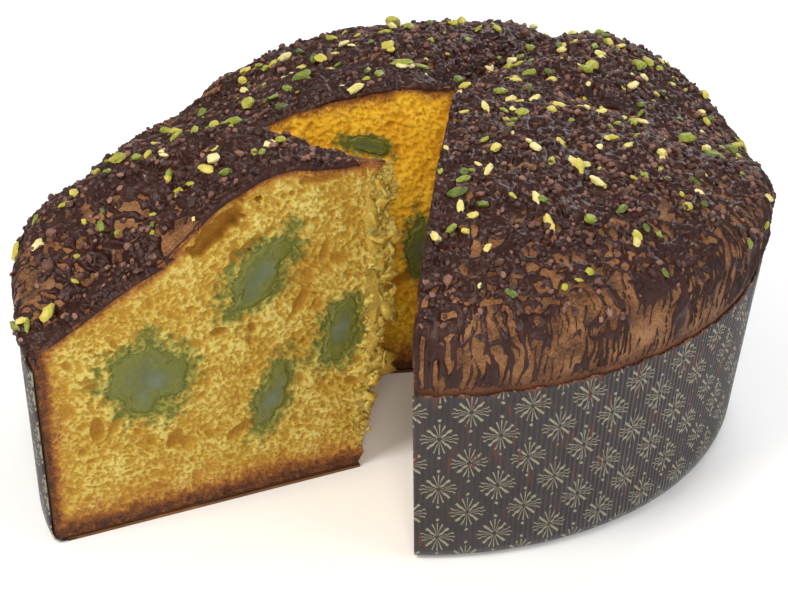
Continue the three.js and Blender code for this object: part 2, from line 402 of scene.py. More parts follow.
@dataclass(frozen=True)
class Place:
    """Where a round body's own frame stands on the table."""

    x: float
    y: float
    turn: float = 0.0

    def world(self, points: np.ndarray) -> np.ndarray:
        """Points of the body's own frame, moved to the table and turned to metres."""
        cos, sin = math.cos(math.radians(self.turn)), math.sin(math.radians(self.turn))
        x = self.x + cos * points[..., 0] - sin * points[..., 1]
        y = self.y + sin * points[..., 0] + cos * points[..., 1]
        return np.stack([x, y, points[..., 2]], axis=-1) * MM

    def matrix(self) -> Matrix:
        """The same move for mathutils, in metres."""
        spin = Matrix.Rotation(math.radians(self.turn), 4, "Z")
        return Matrix.Translation((self.x * MM, self.y * MM, 0.0)) @ spin


def loaf_place() -> Place:
    """The loaf's axis, from the box of its glaze, which reaches the full radius on every side."""
    low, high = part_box("loaf_glaze")
    return Place((low[0] + high[0]) / 2.0 / MM, (low[1] + high[1]) / 2.0 / MM)


LOAF_PLACE = loaf_place()
WEDGE_PLACE = Place(LOAF_PLACE.x - 16.0, LOAF_PLACE.y - 52.0, 204.4)


# ---------------------------------------------------------------- meshes


def grid_mesh(name: str, columns: int, rows: int) -> tuple[bpy.types.Mesh, np.ndarray, np.ndarray]:
    """A flat grid to lay over a surface.

    Args:
        name: the mesh's name.
        columns: faces along U.
        rows: faces along V.

    Returns:
        The mesh, and U and V from 0 to 1 of its vertices, as arrays (rows + 1, columns + 1).
    """
    bm = bmesh.new()
    bmesh.ops.create_grid(bm, x_segments=columns, y_segments=rows, size=0.5)
    mesh = bpy.data.meshes.new(name)
    bm.to_mesh(mesh)
    bm.free()
    flat = np.zeros(len(mesh.vertices) * 3)
    mesh.vertices.foreach_get("co", flat)
    points = flat.reshape(rows + 1, columns + 1, 3)
    return mesh, points[..., 0] + 0.5, points[..., 1] + 0.5


def lay(mesh: bpy.types.Mesh, points: np.ndarray) -> None:
    """Moves a mesh's vertices to world points in metres."""
    mesh.vertices.foreach_set("co", np.ascontiguousarray(points, dtype=np.float64).ravel())
    mesh.update()


def tag(mesh: bpy.types.Mesh, name: str, values: np.ndarray) -> None:
    """Stores one number at each vertex, for a material to read."""
    layer = mesh.attributes.new(name, "FLOAT", "POINT")
    layer.data.foreach_set("value", np.ascontiguousarray(values, dtype=np.float32).ravel())


class Slot(Enum):
    """The record's material slots."""

    BREAD = "bread"
    GLAZE = "glaze"
    PAPER = "mould_paper"
    FRUIT = "candied_fruit"
    NIB = "cocoa_nib"
    PISTACHIO = "pistachio"


def finish_piece(
    name: str,
    mesh: bpy.types.Mesh,
    material: bpy.types.Material,
    nodes: tuple[str, ...] = (),
    is_smooth: bool = True,
) -> bpy.types.Object:
    """Makes a mesh a piece of the panettone.

    Args:
        name: the piece's name.
        mesh: its mesh, in place.
        material: its finish.
        nodes: the CAD nodes that it stands for.
        is_smooth: whether its faces shade as one surface.

    Returns:
        The object.
    """
    piece = bpy.data.objects.new(name, mesh)
    bpy.context.scene.collection.objects.link(piece)
    mesh.materials.clear()
    mesh.materials.append(material)
    mesh.polygons.foreach_set("use_smooth", np.full(len(mesh.polygons), is_smooth))
    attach(piece, BODY)
    if nodes:
        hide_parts(*nodes)
    LOG.info("%s: %d faces", name, len(mesh.polygons))
    return piece


def side_material(mesh: bpy.types.Mesh, material: bpy.types.Material, flag: str, least: float) -> None:
    """Gives a second material to the faces whose corners all carry a value above a limit.

    Args:
        mesh: the mesh.
        material: the second material.
        flag: the name of the value.
        least: the limit.
    """
    mesh.materials.append(material)
    values = np.zeros(len(mesh.vertices), dtype=np.float32)
    mesh.attributes[flag].data.foreach_get("value", values)
    for face in mesh.polygons:
        if min(values[corner] for corner in face.vertices) > least:
            face.material_index = 1


def weld(mesh: bpy.types.Mesh, is_filled: bool = True) -> None:
    """Merges doubled vertices, fills what is still open and turns every face outwards."""
    bm = bmesh.new()
    bm.from_mesh(mesh)
    bmesh.ops.remove_doubles(bm, verts=bm.verts, dist=MERGE_DISTANCE)
    bmesh.ops.dissolve_degenerate(bm, edges=bm.edges, dist=1e-7)
    rim = [edge for edge in bm.edges if edge.is_boundary]
    if is_filled and rim:
        bmesh.ops.edgeloop_fill(bm, edges=rim)
    bmesh.ops.recalc_face_normals(bm, faces=bm.faces)
    bm.to_mesh(mesh)
    bm.free()


# ---------------------------------------------------------------- finishes


def linear(hex_colour: str) -> tuple[float, float, float, float]:
    """An sRGB hex colour as linear RGBA."""
    channels = [int(hex_colour[i : i + 2], 16) / 255.0 for i in (0, 2, 4)]
    return (*(c / 12.92 if c <= 0.04045 else ((c + 0.055) / 1.055) ** 2.4 for c in channels), 1.0)


def add(
    tree: bpy.types.NodeTree,
    kind: str,
    links: dict[str | int, bpy.types.NodeSocket] | None = None,
    values: dict[str | int, object] | None = None,
    **settings: object,
) -> bpy.types.Node:
    """Adds a node with its settings, values and links.

    Args:
        tree: the material's node tree.
        kind: the node's type, without its ShaderNode prefix.
        links: input name or index to the socket that feeds it.
        values: input name or index to its fixed value.
        settings: attributes of the node.

    Returns:
        The node.
    """
    node = tree.nodes.new("ShaderNode" + kind)
    for name, value in settings.items():
        setattr(node, name, value)
    for name, value in (values or {}).items():
        node.inputs[name].default_value = value
    for name, socket in (links or {}).items():
        tree.links.new(socket, node.inputs[name])
    return node


def ramp(
    tree: bpy.types.NodeTree, source: bpy.types.NodeSocket, *stops: tuple[float, str]
) -> bpy.types.NodeSocket:
    """A colour ramp over hex stops, driven by a socket."""
    node = add(tree, "ValToRGB", {"Fac": source})
    elements = node.color_ramp.elements
    while len(elements) < len(stops):
        elements.new(0.5)
    for element, (position, colour) in zip(elements, stops):
        element.position = position
        element.color = linear(colour)
    return node.outputs["Color"]


def blend(
    tree: bpy.types.NodeTree,
    share: bpy.types.NodeSocket,
    one: bpy.types.NodeSocket,
    other: bpy.types.NodeSocket | str,
) -> bpy.types.NodeSocket:
    """Mixes a colour into another by a socket's share."""
    node = add(tree, "Mix", {0: share, 6: one}, data_type="RGBA")
    if isinstance(other, str):
        node.inputs[7].default_value = linear(other)
    else:
        tree.links.new(other, node.inputs[7])
    return node.outputs[2]


def sums(
    tree: bpy.types.NodeTree, operation: str, *terms: bpy.types.NodeSocket | float
) -> bpy.types.NodeSocket:
    """One arithmetic step on sockets or numbers."""
    node = add(tree, "Math", operation=operation)
    for index, term in enumerate(terms):
        if isinstance(term, (int, float)):
            node.inputs[index].default_value = term
        else:
            tree.links.new(term, node.inputs[index])
    return node.outputs[0]


@dataclass(frozen=True)
class Finish:
    """What every finish shares: a name, a gloss and how light scatters under the surface."""

    name: str = "finish"
    roughness: float = 0.6
    ior: float = 1.45
    scatter: float = 0.0
    scatter_radius: tuple[float, float, float] = (1.0, 0.6, 0.3)
    scatter_scale: float = 1.0
    specular: float = 0.5
    bump: float = 0.3

    def start(self) -> tuple[bpy.types.Material, bpy.types.NodeTree, bpy.types.Node]:
        """A new material with its shader and the uniform values on it."""
        material = bpy.data.materials.new(self.name)
        material.use_nodes = True
        tree = material.node_tree
        shader = tree.nodes["Principled BSDF"]
        shader.inputs["Roughness"].default_value = self.roughness
        shader.inputs["IOR"].default_value = self.ior
        shader.inputs["Specular IOR Level"].default_value = self.specular
        shader.inputs["Subsurface Weight"].default_value = self.scatter
        shader.inputs["Subsurface Radius"].default_value = self.scatter_radius
        shader.inputs["Subsurface Scale"].default_value = self.scatter_scale * MM
        return material, tree, shader

    def pattern(
        self, tree: bpy.types.NodeTree, size: float, kind: str = "TexNoise", **values: float
    ) -> bpy.types.Node:
        """A pattern on the object's own coordinates.

        Args:
            tree: the material's node tree.
            size: the size of one feature in millimetres.
            kind: the texture node's type.
            values: further inputs of that node.

        Returns:
            The texture node.
        """
        place = add(tree, "TexCoord")
        inputs = {"Scale": 1.0 / (size * MM)}
        inputs.update({key.replace("_", " "): value for key, value in values.items()})
        return add(tree, kind, {"Vector": place.outputs["Object"]}, inputs)

    def raise_surface(
        self,
        tree: bpy.types.NodeTree,
        shader: bpy.types.Node,
        height: bpy.types.NodeSocket,
        depth: float,
    ) -> None:
        """Bumps the surface by a height socket over a depth in millimetres."""
        node = add(tree, "Bump", {"Height": height}, {"Strength": self.bump, "Distance": depth * MM})
        tree.links.new(node.outputs["Normal"], shader.inputs["Normal"])


@dataclass(frozen=True)
class CrumbFinish(Finish):
    """Egg-rich leavened crumb with a baked brown rind, painted shade in its pores and a painted highlight on
    its cell edges.
    """

    name: str = "panettone_crumb"
    roughness: float = 0.8
    scatter: float = 0.3
    scatter_radius: tuple[float, float, float] = (1.0, 0.6, 0.15)
    scatter_scale: float = 1.4
    bump: float = 0.45
    # crumb colours from the cell edges to the deepest pores: painted shade that deepens with pore depth
    pore_shade_tones: tuple[str, ...] = ("CDBD6C", "BCA142", "AA8424", "96680F", "83500A")
    warmth: str = "AC8316"
    # how far the cell edges are paled towards the palest colour: a painted highlight
    wall: float = 0.55

    def build(self) -> bpy.types.Material:
        """The crumb's material, which reads the pore depth, rind and green soak of its mesh."""
        material, tree, shader = self.start()
        pit = add(tree, "Attribute", attribute_name="pit").outputs["Fac"]
        rind = add(tree, "Attribute", attribute_name="rind").outputs["Fac"]
        soak = add(tree, "Attribute", attribute_name="soak").outputs["Fac"]
        fine = self.pattern(tree, 0.75, Detail=5.0, Roughness=0.8).outputs["Fac"]
        broad = self.pattern(tree, 16.0, Detail=2.0).outputs["Fac"]
        grain = sums(tree, "MULTIPLY", sums(tree, "SUBTRACT", fine, 0.5), 1.3)
        depth = sums(tree, "ADD", pit, grain)
        # the crumb darkens with pore depth over a random grain: painted shade in the pores
        stops = zip((0.0, 0.2, 0.45, 0.75, 1.0), self.pore_shade_tones)
        colour = ramp(tree, depth, *stops)
        warm = sums(tree, "MULTIPLY", sums(tree, "SUBTRACT", broad, 0.47), 1.4)
        colour = blend(tree, sums(tree, "MAXIMUM", warm, 0.0), colour, self.warmth)
        # pale rims round the cells, fading where pores are deep: a painted highlight on each thin cell wall
        cells = self.pattern(tree, 1.2, "TexVoronoi", Randomness=1.0)
        cells.feature = "DISTANCE_TO_EDGE"
        reach = sums(tree, "ADD", cells.outputs["Distance"], sums(tree, "MULTIPLY", pit, 0.3))
        limits = {"From Min": 0.02, "From Max": 0.2, "To Min": self.wall, "To Max": 0.0}
        wall_highlight_mask = add(tree, "MapRange", {"Value": reach}, limits).outputs["Result"]
        colour = blend(tree, wall_highlight_mask, colour, self.pore_shade_tones[0])
        green = ramp(tree, depth, (0.0, "8F8B3C"), (0.3, "6A6C26"), (1.0, "414A16"))
        colour = blend(tree, soak, colour, green)
        crumbly = self.pattern(tree, 2.0, Detail=6.0, Roughness=0.88).outputs["Fac"]
        speck = sums(tree, "MULTIPLY", sums(tree, "SUBTRACT", crumbly, 0.5), 3.6)
        level = sums(tree, "ADD", sums(tree, "MULTIPLY", rind, 0.88), sums(tree, "MULTIPLY", speck, 0.6))
        browns = ((0.0, "BD8A34"), (0.25, "A56C22"), (0.5, "85501A"), (0.72, "633612"), (1.0, "35190A"))
        baked = ramp(tree, level, *browns)
        edge = sums(tree, "ADD", sums(tree, "MULTIPLY", rind, 2.2), sums(tree, "MULTIPLY", speck, 0.9))
        edge = sums(tree, "MAXIMUM", sums(tree, "MINIMUM", edge, 1.0), 0.0)
        edge = sums(tree, "MULTIPLY", edge, sums(tree, "MINIMUM", sums(tree, "MULTIPLY", rind, 6.0), 1.0))
        colour = blend(tree, edge, colour, baked)
        tree.links.new(colour, shader.inputs["Base Color"])
        self.raise_surface(tree, shader, sums(tree, "SUBTRACT", fine, wall_highlight_mask), 0.6)
        return material


@dataclass(frozen=True)
class CrustFinish(Finish):
    """Baked crust: tan to chestnut skin with a fine sandy grain and darker scorched patches."""

    name: str = "baked_crust"
    roughness: float = 0.7
    bump: float = 0.7

    def build(self) -> bpy.types.Material:
        """The crust's material."""
        material, tree, shader = self.start()
        broad = self.pattern(tree, 9.0, Detail=5.0, Roughness=0.6).outputs["Fac"]
        grain = self.pattern(tree, 0.7, Detail=3.0, Roughness=0.7).outputs["Fac"]
        level = sums(tree, "ADD", broad, sums(tree, "MULTIPLY", sums(tree, "SUBTRACT", grain, 0.5), 0.75))
        browns = ((0.2, "2E160B"), (0.38, "54300F"), (0.5, "734924"), (0.66, "8C6239"), (0.85, "A37D52"))
        colour = ramp(tree, level, *browns)
        # the crust is darker from the paper's rim up to a set height
        rim_darkening = add(tree, "Attribute", attribute_name="rim_darkening").outputs["Fac"]
        colour = blend(tree, sums(tree, "MULTIPLY", rim_darkening, 0.8), colour, "532910")
        tree.links.new(colour, shader.inputs["Base Color"])
        self.raise_surface(tree, shader, sums(tree, "ADD", grain, broad), 0.6)
        return material


@dataclass(frozen=True)
class ChocolateFinish(Finish):
    """Set dark chocolate glaze: near black brown, waxy, with soft broken highlights."""

    name: str = "dark_chocolate_glaze"
    roughness: float = 0.5
    ior: float = 1.45
    specular: float = 0.28
    bump: float = 0.4

    def build(self) -> bpy.types.Material:
        """The chocolate's material."""
        material, tree, shader = self.start()
        bloom = self.pattern(tree, 5.0, Detail=4.0).outputs["Fac"]
        fine = self.pattern(tree, 0.6, Detail=3.0).outputs["Fac"]
        colour = ramp(tree, bloom, (0.3, "270F09"), (0.55, "33170F"), (0.8, "442720"))
        tree.links.new(colour, shader.inputs["Base Color"])
        limits = {"From Min": 0.3, "From Max": 0.7, "To Min": 0.3, "To Max": 0.5}
        gloss = add(tree, "MapRange", {"Value": fine}, limits)
        tree.links.new(gloss.outputs["Result"], shader.inputs["Roughness"])
        self.raise_surface(tree, shader, fine, 0.2)
        return material


@dataclass(frozen=True)
class PaperFinish(Finish):
    """Greaseproof mould paper: grey-brown ink with a khaki print, greasy and scorched at its edges, and a
    painted grey sheen where it turns away.
    """

    name: str = "printed_mould_paper"
    roughness: float = 0.47
    ior: float = 1.46
    bump: float = 0.25
    pitch_x: float = 17.0
    pitch_y: float = 18.0
    # grey mixed in where the band turns away from view: a painted sheen
    painted_sheen: str = "8C8B90"
    petals: int = 16
    petal_reach: float = 5.5

    @staticmethod
    def repeat(tree: bpy.types.NodeTree, value: bpy.types.NodeSocket, pitch: float) -> bpy.types.NodeSocket:
        """Distance from the middle of the cell that a value falls in, on a row of cells of that pitch."""
        share = sums(tree, "FRACT", sums(tree, "DIVIDE", value, pitch))
        return sums(tree, "MULTIPLY", sums(tree, "SUBTRACT", share, 0.5), pitch)

    @staticmethod
    def length(
        tree: bpy.types.NodeTree, x: bpy.types.NodeSocket, y: bpy.types.NodeSocket
    ) -> bpy.types.NodeSocket:
        """Length of the vector (x, y)."""
        squares = (sums(tree, "MULTIPLY", x, x), sums(tree, "MULTIPLY", y, y))
        return sums(tree, "SQRT", sums(tree, "ADD", *squares))

    def motif(
        self, tree: bpy.types.NodeTree, u: bpy.types.NodeSocket, v: bpy.types.NodeSocket
    ) -> bpy.types.NodeSocket:
        """One lattice of bursts: petals that widen outwards from a small eye, with a dot above and below.

        Args:
            tree: the material's node tree.
            u: millimetres round the band.
            v: millimetres up the band.

        Returns:
            A socket that is 1 on the ink of the print.
        """
        x = self.repeat(tree, u, self.pitch_x)
        y = self.repeat(tree, v, self.pitch_y)
        radius = self.length(tree, x, y)
        angle = sums(tree, "ARCTAN2", y, x)
        turn = sums(tree, "MULTIPLY", sums(tree, "DIVIDE", angle, 2.0 * math.pi), float(self.petals))
        swing = sums(tree, "SINE", sums(tree, "MULTIPLY", angle, 4.0))
        inner = sums(tree, "SUBTRACT", 1.0, sums(tree, "DIVIDE", radius, self.petal_reach))
        bend = sums(tree, "MULTIPLY", swing, sums(tree, "ADD", 0.22, sums(tree, "MULTIPLY", inner, 0.32)))
        share = sums(tree, "FRACT", sums(tree, "ADD", sums(tree, "ADD", turn, bend), 0.5))
        offset = sums(tree, "ABSOLUTE", sums(tree, "SUBTRACT", share, 0.5))
        across = sums(tree, "MULTIPLY", offset, sums(tree, "MULTIPLY", radius, 2.0 * math.pi / self.petals))
        width = sums(tree, "ADD", 0.02, sums(tree, "MULTIPLY", radius, 0.045))
        petal = sums(tree, "LESS_THAN", across, width)
        wave = sums(tree, "MULTIPLY", sums(tree, "COSINE", sums(tree, "MULTIPLY", angle, 4.0)), 0.35)
        limit = sums(tree, "ADD", self.petal_reach - 0.5, wave)
        petal = sums(tree, "MULTIPLY", petal, sums(tree, "LESS_THAN", radius, limit))
        petal = sums(tree, "MULTIPLY", petal, sums(tree, "GREATER_THAN", radius, 0.7))
        rise = sums(tree, "SUBTRACT", sums(tree, "ABSOLUTE", y), 6.6)
        dot = sums(tree, "LESS_THAN", self.length(tree, x, rise), 0.5)
        return sums(tree, "MAXIMUM", petal, dot)

    def build(self) -> bpy.types.Material:
        """The band's material, on UVs that hold centimetres round and up the band."""
        material, tree, shader = self.start()
        place = add(tree, "UVMap", uv_map="band")
        parts = add(tree, "SeparateXYZ", {"Vector": place.outputs["UV"]})
        u = sums(tree, "MULTIPLY", parts.outputs["X"], 1000.0)
        v = sums(tree, "MULTIPLY", parts.outputs["Y"], 1000.0)
        one = self.motif(tree, u, v)
        half_u = sums(tree, "ADD", u, self.pitch_x / 2.0)
        half_v = sums(tree, "ADD", v, self.pitch_y / 2.0)
        print_ink = sums(tree, "MAXIMUM", one, self.motif(tree, half_u, half_v))
        wear = self.pattern(tree, 6.0, Detail=5.0).outputs["Fac"]
        ground = ramp(tree, wear, (0.3, "221B1A"), (0.6, "2B2322"), (0.85, "38302F"))
        colour = blend(tree, sums(tree, "MULTIPLY", print_ink, 0.85), ground, "918B72")
        rim = add(
            tree, "MapRange", {"Value": sums(tree, "ADD", v, sums(tree, "MULTIPLY", wear, 2.0))},
            {"From Min": 59.8, "From Max": 61.2, "To Min": 0.0, "To Max": 0.9},
        )
        scorched = ramp(tree, wear, (0.42, "2E160D"), (0.58, "7A4620"))
        colour = blend(tree, rim.outputs["Result"], colour, scorched)
        across, down = sums(tree, "MULTIPLY", u, 0.55), sums(tree, "MULTIPLY", v, 0.09)
        flow = add(tree, "CombineXYZ", {0: across, 1: down})
        streak = add(tree, "TexNoise", {"Vector": flow.outputs[0]}, {"Scale": 1.0, "Detail": 3.0})
        level = sums(tree, "ADD", streak.outputs["Fac"], sums(tree, "MULTIPLY", v, 0.0012))
        limits = {"From Min": 0.66, "From Max": 0.71, "To Min": 0.0, "To Max": 0.9}
        stain = add(tree, "MapRange", {"Value": level}, limits)
        colour = blend(tree, stain.outputs["Result"], colour, "4E1F14")
        # the print fades to grey at grazing angles: a painted reflection
        grazing_painted_sheen = sums(tree, "POWER", add(tree, "LayerWeight", {}, {"Blend": 0.5}).outputs["Facing"], 4.0)
        colour = blend(tree, sums(tree, "MULTIPLY", grazing_painted_sheen, 0.8), colour, self.painted_sheen)
        tree.links.new(colour, shader.inputs["Base Color"])
        self.raise_surface(tree, shader, self.pattern(tree, 0.5, Detail=3.0).outputs["Fac"], 0.1)
        return material


@dataclass(frozen=True)
class KraftFinish(Finish):
    """Baked greaseproof disc: brown paper with darker scorched and buttery patches."""

    name: str = "baked_paper_disc"
    roughness: float = 0.6

    def build(self) -> bpy.types.Material:
        """The disc's material."""
        material, tree, shader = self.start()
        patch = self.pattern(tree, 12.0, Detail=5.0).outputs["Fac"]
        colour = ramp(tree, patch, (0.3, "4A2C14"), (0.6, "6E4820"), (0.8, "8F6A38"))
        tree.links.new(colour, shader.inputs["Base Color"])
        self.raise_surface(tree, shader, self.pattern(tree, 1.2, Detail=3.0).outputs["Fac"], 0.2)
        return material


@dataclass(frozen=True)
class FruitFinish(Finish):
    """Candied green fruit: cloudy sugar-soaked flesh that light passes into, crumbly at its rim."""

    name: str = "candied_fruit"
    roughness: float = 0.42
    ior: float = 1.42
    scatter: float = 0.5
    scatter_radius: tuple[float, float, float] = (0.9, 1.0, 0.6)
    scatter_scale: float = 2.5
    bump: float = 0.5

    def build(self) -> bpy.types.Material:
        """The fruit's material, which reads how deep inside its outline each point lies."""
        material, tree, shader = self.start()
        core = add(tree, "Attribute", attribute_name="core").outputs["Fac"]
        cloud = self.pattern(tree, 7.0, Detail=3.0).outputs["Fac"]
        fibre = self.pattern(tree, 1.1, Detail=4.0, Roughness=0.7).outputs["Fac"]
        grain = sums(tree, "MULTIPLY", sums(tree, "SUBTRACT", fibre, 0.5), 0.9)
        flesh = ramp(tree, cloud, (0.3, "545B30"), (0.5, "5C6548"), (0.7, "687262"))
        crumbly = ramp(tree, sums(tree, "ADD", grain, 0.4), (0.0, "8F8B3C"), (0.3, "6A6C26"), (1.0, "414A16"))
        share = sums(tree, "ADD", sums(tree, "MULTIPLY", core, 2.6), sums(tree, "SUBTRACT", cloud, 1.0))
        share = sums(tree, "MINIMUM", sums(tree, "MAXIMUM", share, 0.0), 1.0)
        tree.links.new(blend(tree, share, crumbly, flesh), shader.inputs["Base Color"])
        rough = sums(tree, "MULTIPLY", fibre, sums(tree, "SUBTRACT", 1.1, share))
        self.raise_surface(tree, shader, rough, 0.6)
        return material


@dataclass(frozen=True)
class NibFinish(Finish):
    """Roasted cocoa nibs: dry reddish brown splinters, some dusted with chocolate."""

    name: str = "cocoa_nib"
    roughness: float = 0.66
    bump: float = 0.4

    def build(self) -> bpy.types.Material:
        """The nibs' material, with a shade of its own for each nib."""
        material, tree, shader = self.start()
        shade = add(tree, "Attribute", attribute_name="shade").outputs["Fac"]
        colour = ramp(tree, shade, (0.0, "2E1A14"), (0.4, "4A2E25"), (0.75, "654336"), (1.0, "8C6555"))
        tree.links.new(colour, shader.inputs["Base Color"])
        self.raise_surface(tree, shader, self.pattern(tree, 0.5, Detail=3.0).outputs["Fac"], 0.2)
        return material


@dataclass(frozen=True)
class PistachioFinish(Finish):
    """Chopped pistachio: yellow-green flesh, paler breaks, a few dark green skins."""

    name: str = "chopped_pistachio"
    roughness: float = 0.5
    scatter: float = 0.3
    scatter_radius: tuple[float, float, float] = (0.7, 1.0, 0.3)
    scatter_scale: float = 0.8
    bump: float = 0.3

    def build(self) -> bpy.types.Material:
        """The pistachios' material, with a shade of its own for each piece."""
        material, tree, shader = self.start()
        shade = add(tree, "Attribute", attribute_name="shade").outputs["Fac"]
        grain = self.pattern(tree, 1.2, Detail=3.0).outputs["Fac"]
        level = sums(tree, "ADD", shade, sums(tree, "MULTIPLY", sums(tree, "SUBTRACT", grain, 0.5), 0.5))
        colour = ramp(
            tree, level, (0.0, "46541C"), (0.22, "71802A"), (0.45, "A09C30"), (0.7, "C4B550"), (1.0, "DED29A")
        )
        tree.links.new(colour, shader.inputs["Base Color"])
        self.raise_surface(tree, shader, grain, 0.2)
        return material


@dataclass(frozen=True)
class FloorFinish(Finish):
    """A matt white table top."""

    name: str = "white_table"
    roughness: float = 0.8

    def build(self) -> bpy.types.Material:
        """The table's material."""
        material, tree, shader = self.start()
        haze = self.pattern(tree, 400.0).outputs["Fac"]
        tree.links.new(ramp(tree, haze, (0.2, "F8F8F9"), (0.8, "FBFBFB")), shader.inputs["Base Color"])
        return material


@dataclass(frozen=True)
class Pantry:
    """Every finish, made once."""

    crumb: bpy.types.Material = field(default_factory=lambda: CrumbFinish().build())
    # a brighter, more saturated copy of the crumb for the notch face that lies in shade: painted light
    brightened_crumb: bpy.types.Material = field(
        default_factory=lambda: CrumbFinish(
            name="panettone_crumb_painted_bright",
            pore_shade_tones=("F0C840", "E6B41E", "D69C10", "BE8408", "A06806"),
            warmth="D49A0E",
            wall=0.35,
        ).build()
    )
    crust: bpy.types.Material = field(default_factory=lambda: CrustFinish().build())
    chocolate: bpy.types.Material = field(default_factory=lambda: ChocolateFinish().build())
    paper: bpy.types.Material = field(default_factory=lambda: PaperFinish().build())
    disc: bpy.types.Material = field(default_factory=lambda: KraftFinish().build())
    fruit: bpy.types.Material = field(default_factory=lambda: FruitFinish().build())
    nib: bpy.types.Material = field(default_factory=lambda: NibFinish().build())
    pistachio: bpy.types.Material = field(default_factory=lambda: PistachioFinish().build())


# ---------------------------------------------------------------- candied fruit

FRUIT_RIM = 0.18         # closeness at which the clear flesh gives way to green-soaked crumb


@dataclass(frozen=True)
class Fruit:
    """One piece of candied fruit that a cut face runs through.

    along and height place its centre on the face; half holds its half axes along, into and up it.
    """

    name: str
    along: float
    height: float
    half: tuple[float, float, float]
    tilt: float
    depth: float = 2.0

    def closeness(self, along: np.ndarray, height: np.ndarray, noise: Noise) -> np.ndarray:
        """How near points of the face are to the piece: 1 at its centre, 0 on its outline.

        Args:
            along: distances along the face.
            height: heights on the face.
            noise: the noise that roughens the outline.

        Returns:
            The closeness, negative outside.
        """
        cos, sin = math.cos(math.radians(self.tilt)), math.sin(math.radians(self.tilt))
        dx, dz = along - self.along, height - self.height
        p = (cos * dx - sin * dz) / self.half[0]
        q = (sin * dx + cos * dz) / self.half[2]
        points = np.stack([along, height, np.full(np.shape(along), 7.7)], axis=-1)
        ragged = 0.3 * noise.fractal(points, 9.0, 2) + 0.1 * noise.fractal(points + 50.0, 2.2, 2)
        return 1.0 - np.hypot(p, q) + ragged

    def outline(self, bearing: np.ndarray, noise: Noise, least: float) -> np.ndarray:
        """Distance from the centre to where the closeness falls to a limit, along each bearing."""
        bearings = np.linspace(-math.pi, math.pi, 181)
        steps = np.linspace(0.3, 1.7, 120) * max(self.half[0], self.half[2])
        along = self.along + np.cos(bearings)[:, None] * steps
        height = self.height + np.sin(bearings)[:, None] * steps
        is_out = self.closeness(along, height, noise) < least
        reach = steps[np.where(is_out.any(axis=1), is_out.argmax(axis=1), -1)]
        return np.interp(bearing, bearings, reach)


# ---------------------------------------------------------------- crumb


@dataclass(frozen=True)
class Cavity:
    """A long hole that opened under the crust: its centre, half length, half height, tilt and depth."""

    along: float
    height: float
    half_length: float
    half_height: float
    tilt: float
    depth: float


class Pores:
    """The pores of one cut face, splatted on a fine square raster."""

    STEP = 0.3
    MARGIN = 12.0
    # pores for each square millimetre, with their radius and depth
    CLASSES = ((0.95, 0.42, 0.6), (0.05, 0.65, 0.75), (0.012, 1.0, 0.95), (0.001, 1.9, 1.4))

    def __init__(self, width: float, height: float, seed: int, cavities: tuple[Cavity, ...]) -> None:
        """Scatters the pores.

        Args:
            width: length of the face.
            height: height of the face.
            seed: the number that fixes the scatter.
            cavities: the large holes.
        """
        self.rng = np.random.default_rng(seed)
        self.noise = Noise(seed + 5)
        columns = int((width + 2.0 * self.MARGIN) / self.STEP)
        rows = int((height + 2.0 * self.MARGIN) / self.STEP)
        self.depth = np.zeros((rows, columns))
        area = (width + 2.0 * self.MARGIN) * (height + 2.0 * self.MARGIN)
        for count, size, depth in self.CLASSES:
            self.scatter(int(count * area), size, depth)
        for cavity in cavities:
            half = (cavity.half_length, cavity.half_height)
            self.splat(cavity.along, cavity.height, *half, cavity.tilt, cavity.depth, 0.9)

    def scatter(self, count: int, size: float, depth: float) -> None:
        """Adds pores of one class at random places."""
        rows, columns = self.depth.shape
        for _ in range(count):
            along = self.rng.uniform(0.0, columns * self.STEP) - self.MARGIN
            height = self.rng.uniform(0.0, rows * self.STEP) - self.MARGIN
            radius = size * math.exp(self.rng.normal(0.0, 0.28))
            stretch = self.rng.uniform(1.0, 2.1)
            tilt = self.rng.normal(20.0, 50.0)
            self.splat(along, height, radius * stretch, radius, tilt, depth * self.rng.uniform(0.6, 1.2))

    def splat(
        self, along: float, height: float, long: float, short: float, tilt: float, depth: float,
        ragged: float = 0.0,
    ) -> None:
        """Presses one ellipse into the raster.

        Args:
            along: distance of its centre along the face.
            height: height of its centre.
            long: its longer half axis.
            short: its shorter half axis.
            tilt: turn of its longer axis, upwards in degrees.
            depth: its depth.
            ragged: how torn its outline is.
        """
        rows, columns = self.depth.shape
        reach = int(1.3 * long / self.STEP) + 2
        column, row = int((along + self.MARGIN) / self.STEP), int((height + self.MARGIN) / self.STEP)
        left, right = max(column - reach, 0), min(column + reach, columns)
        low, high = max(row - reach, 0), min(row + reach, rows)
        if left >= right or low >= high:
            return
        x = np.arange(left, right)[None, :] * self.STEP - self.MARGIN - along
        z = np.arange(low, high)[:, None] * self.STEP - self.MARGIN - height
        cos, sin = math.cos(math.radians(tilt)), math.sin(math.radians(tilt))
        ratio = ((cos * x + sin * z) / long) ** 2 + ((cos * z - sin * x) / short) ** 2
        if ragged > 0.0:
            spots = np.stack(np.broadcast_arrays(x, z, 0.0 * x), axis=-1)
            ratio = ratio * (1.0 + ragged * self.noise.fractal(spots, 3.6, 3)) + 0.1
        bowl = depth * np.clip(1.0 - ratio, 0.0, 1.0) ** 0.6
        part = self.depth[low:high, left:right]
        np.maximum(part, bowl, out=part)

    def at(self, along: np.ndarray, height: np.ndarray) -> np.ndarray:
        """Depth of the pores at points of the face, between raster cells."""
        x = np.clip((along + self.MARGIN) / self.STEP, 0.0, self.depth.shape[1] - 1.001)
        z = np.clip((height + self.MARGIN) / self.STEP, 0.0, self.depth.shape[0] - 1.001)
        column, row = x.astype(int), z.astype(int)
        fx, fz = x - column, z - row
        top = self.depth[row + 1, column] * (1.0 - fx) + self.depth[row + 1, column + 1] * fx
        bottom = self.depth[row, column] * (1.0 - fx) + self.depth[row, column + 1] * fx
        return bottom * (1.0 - fz) + top * fz


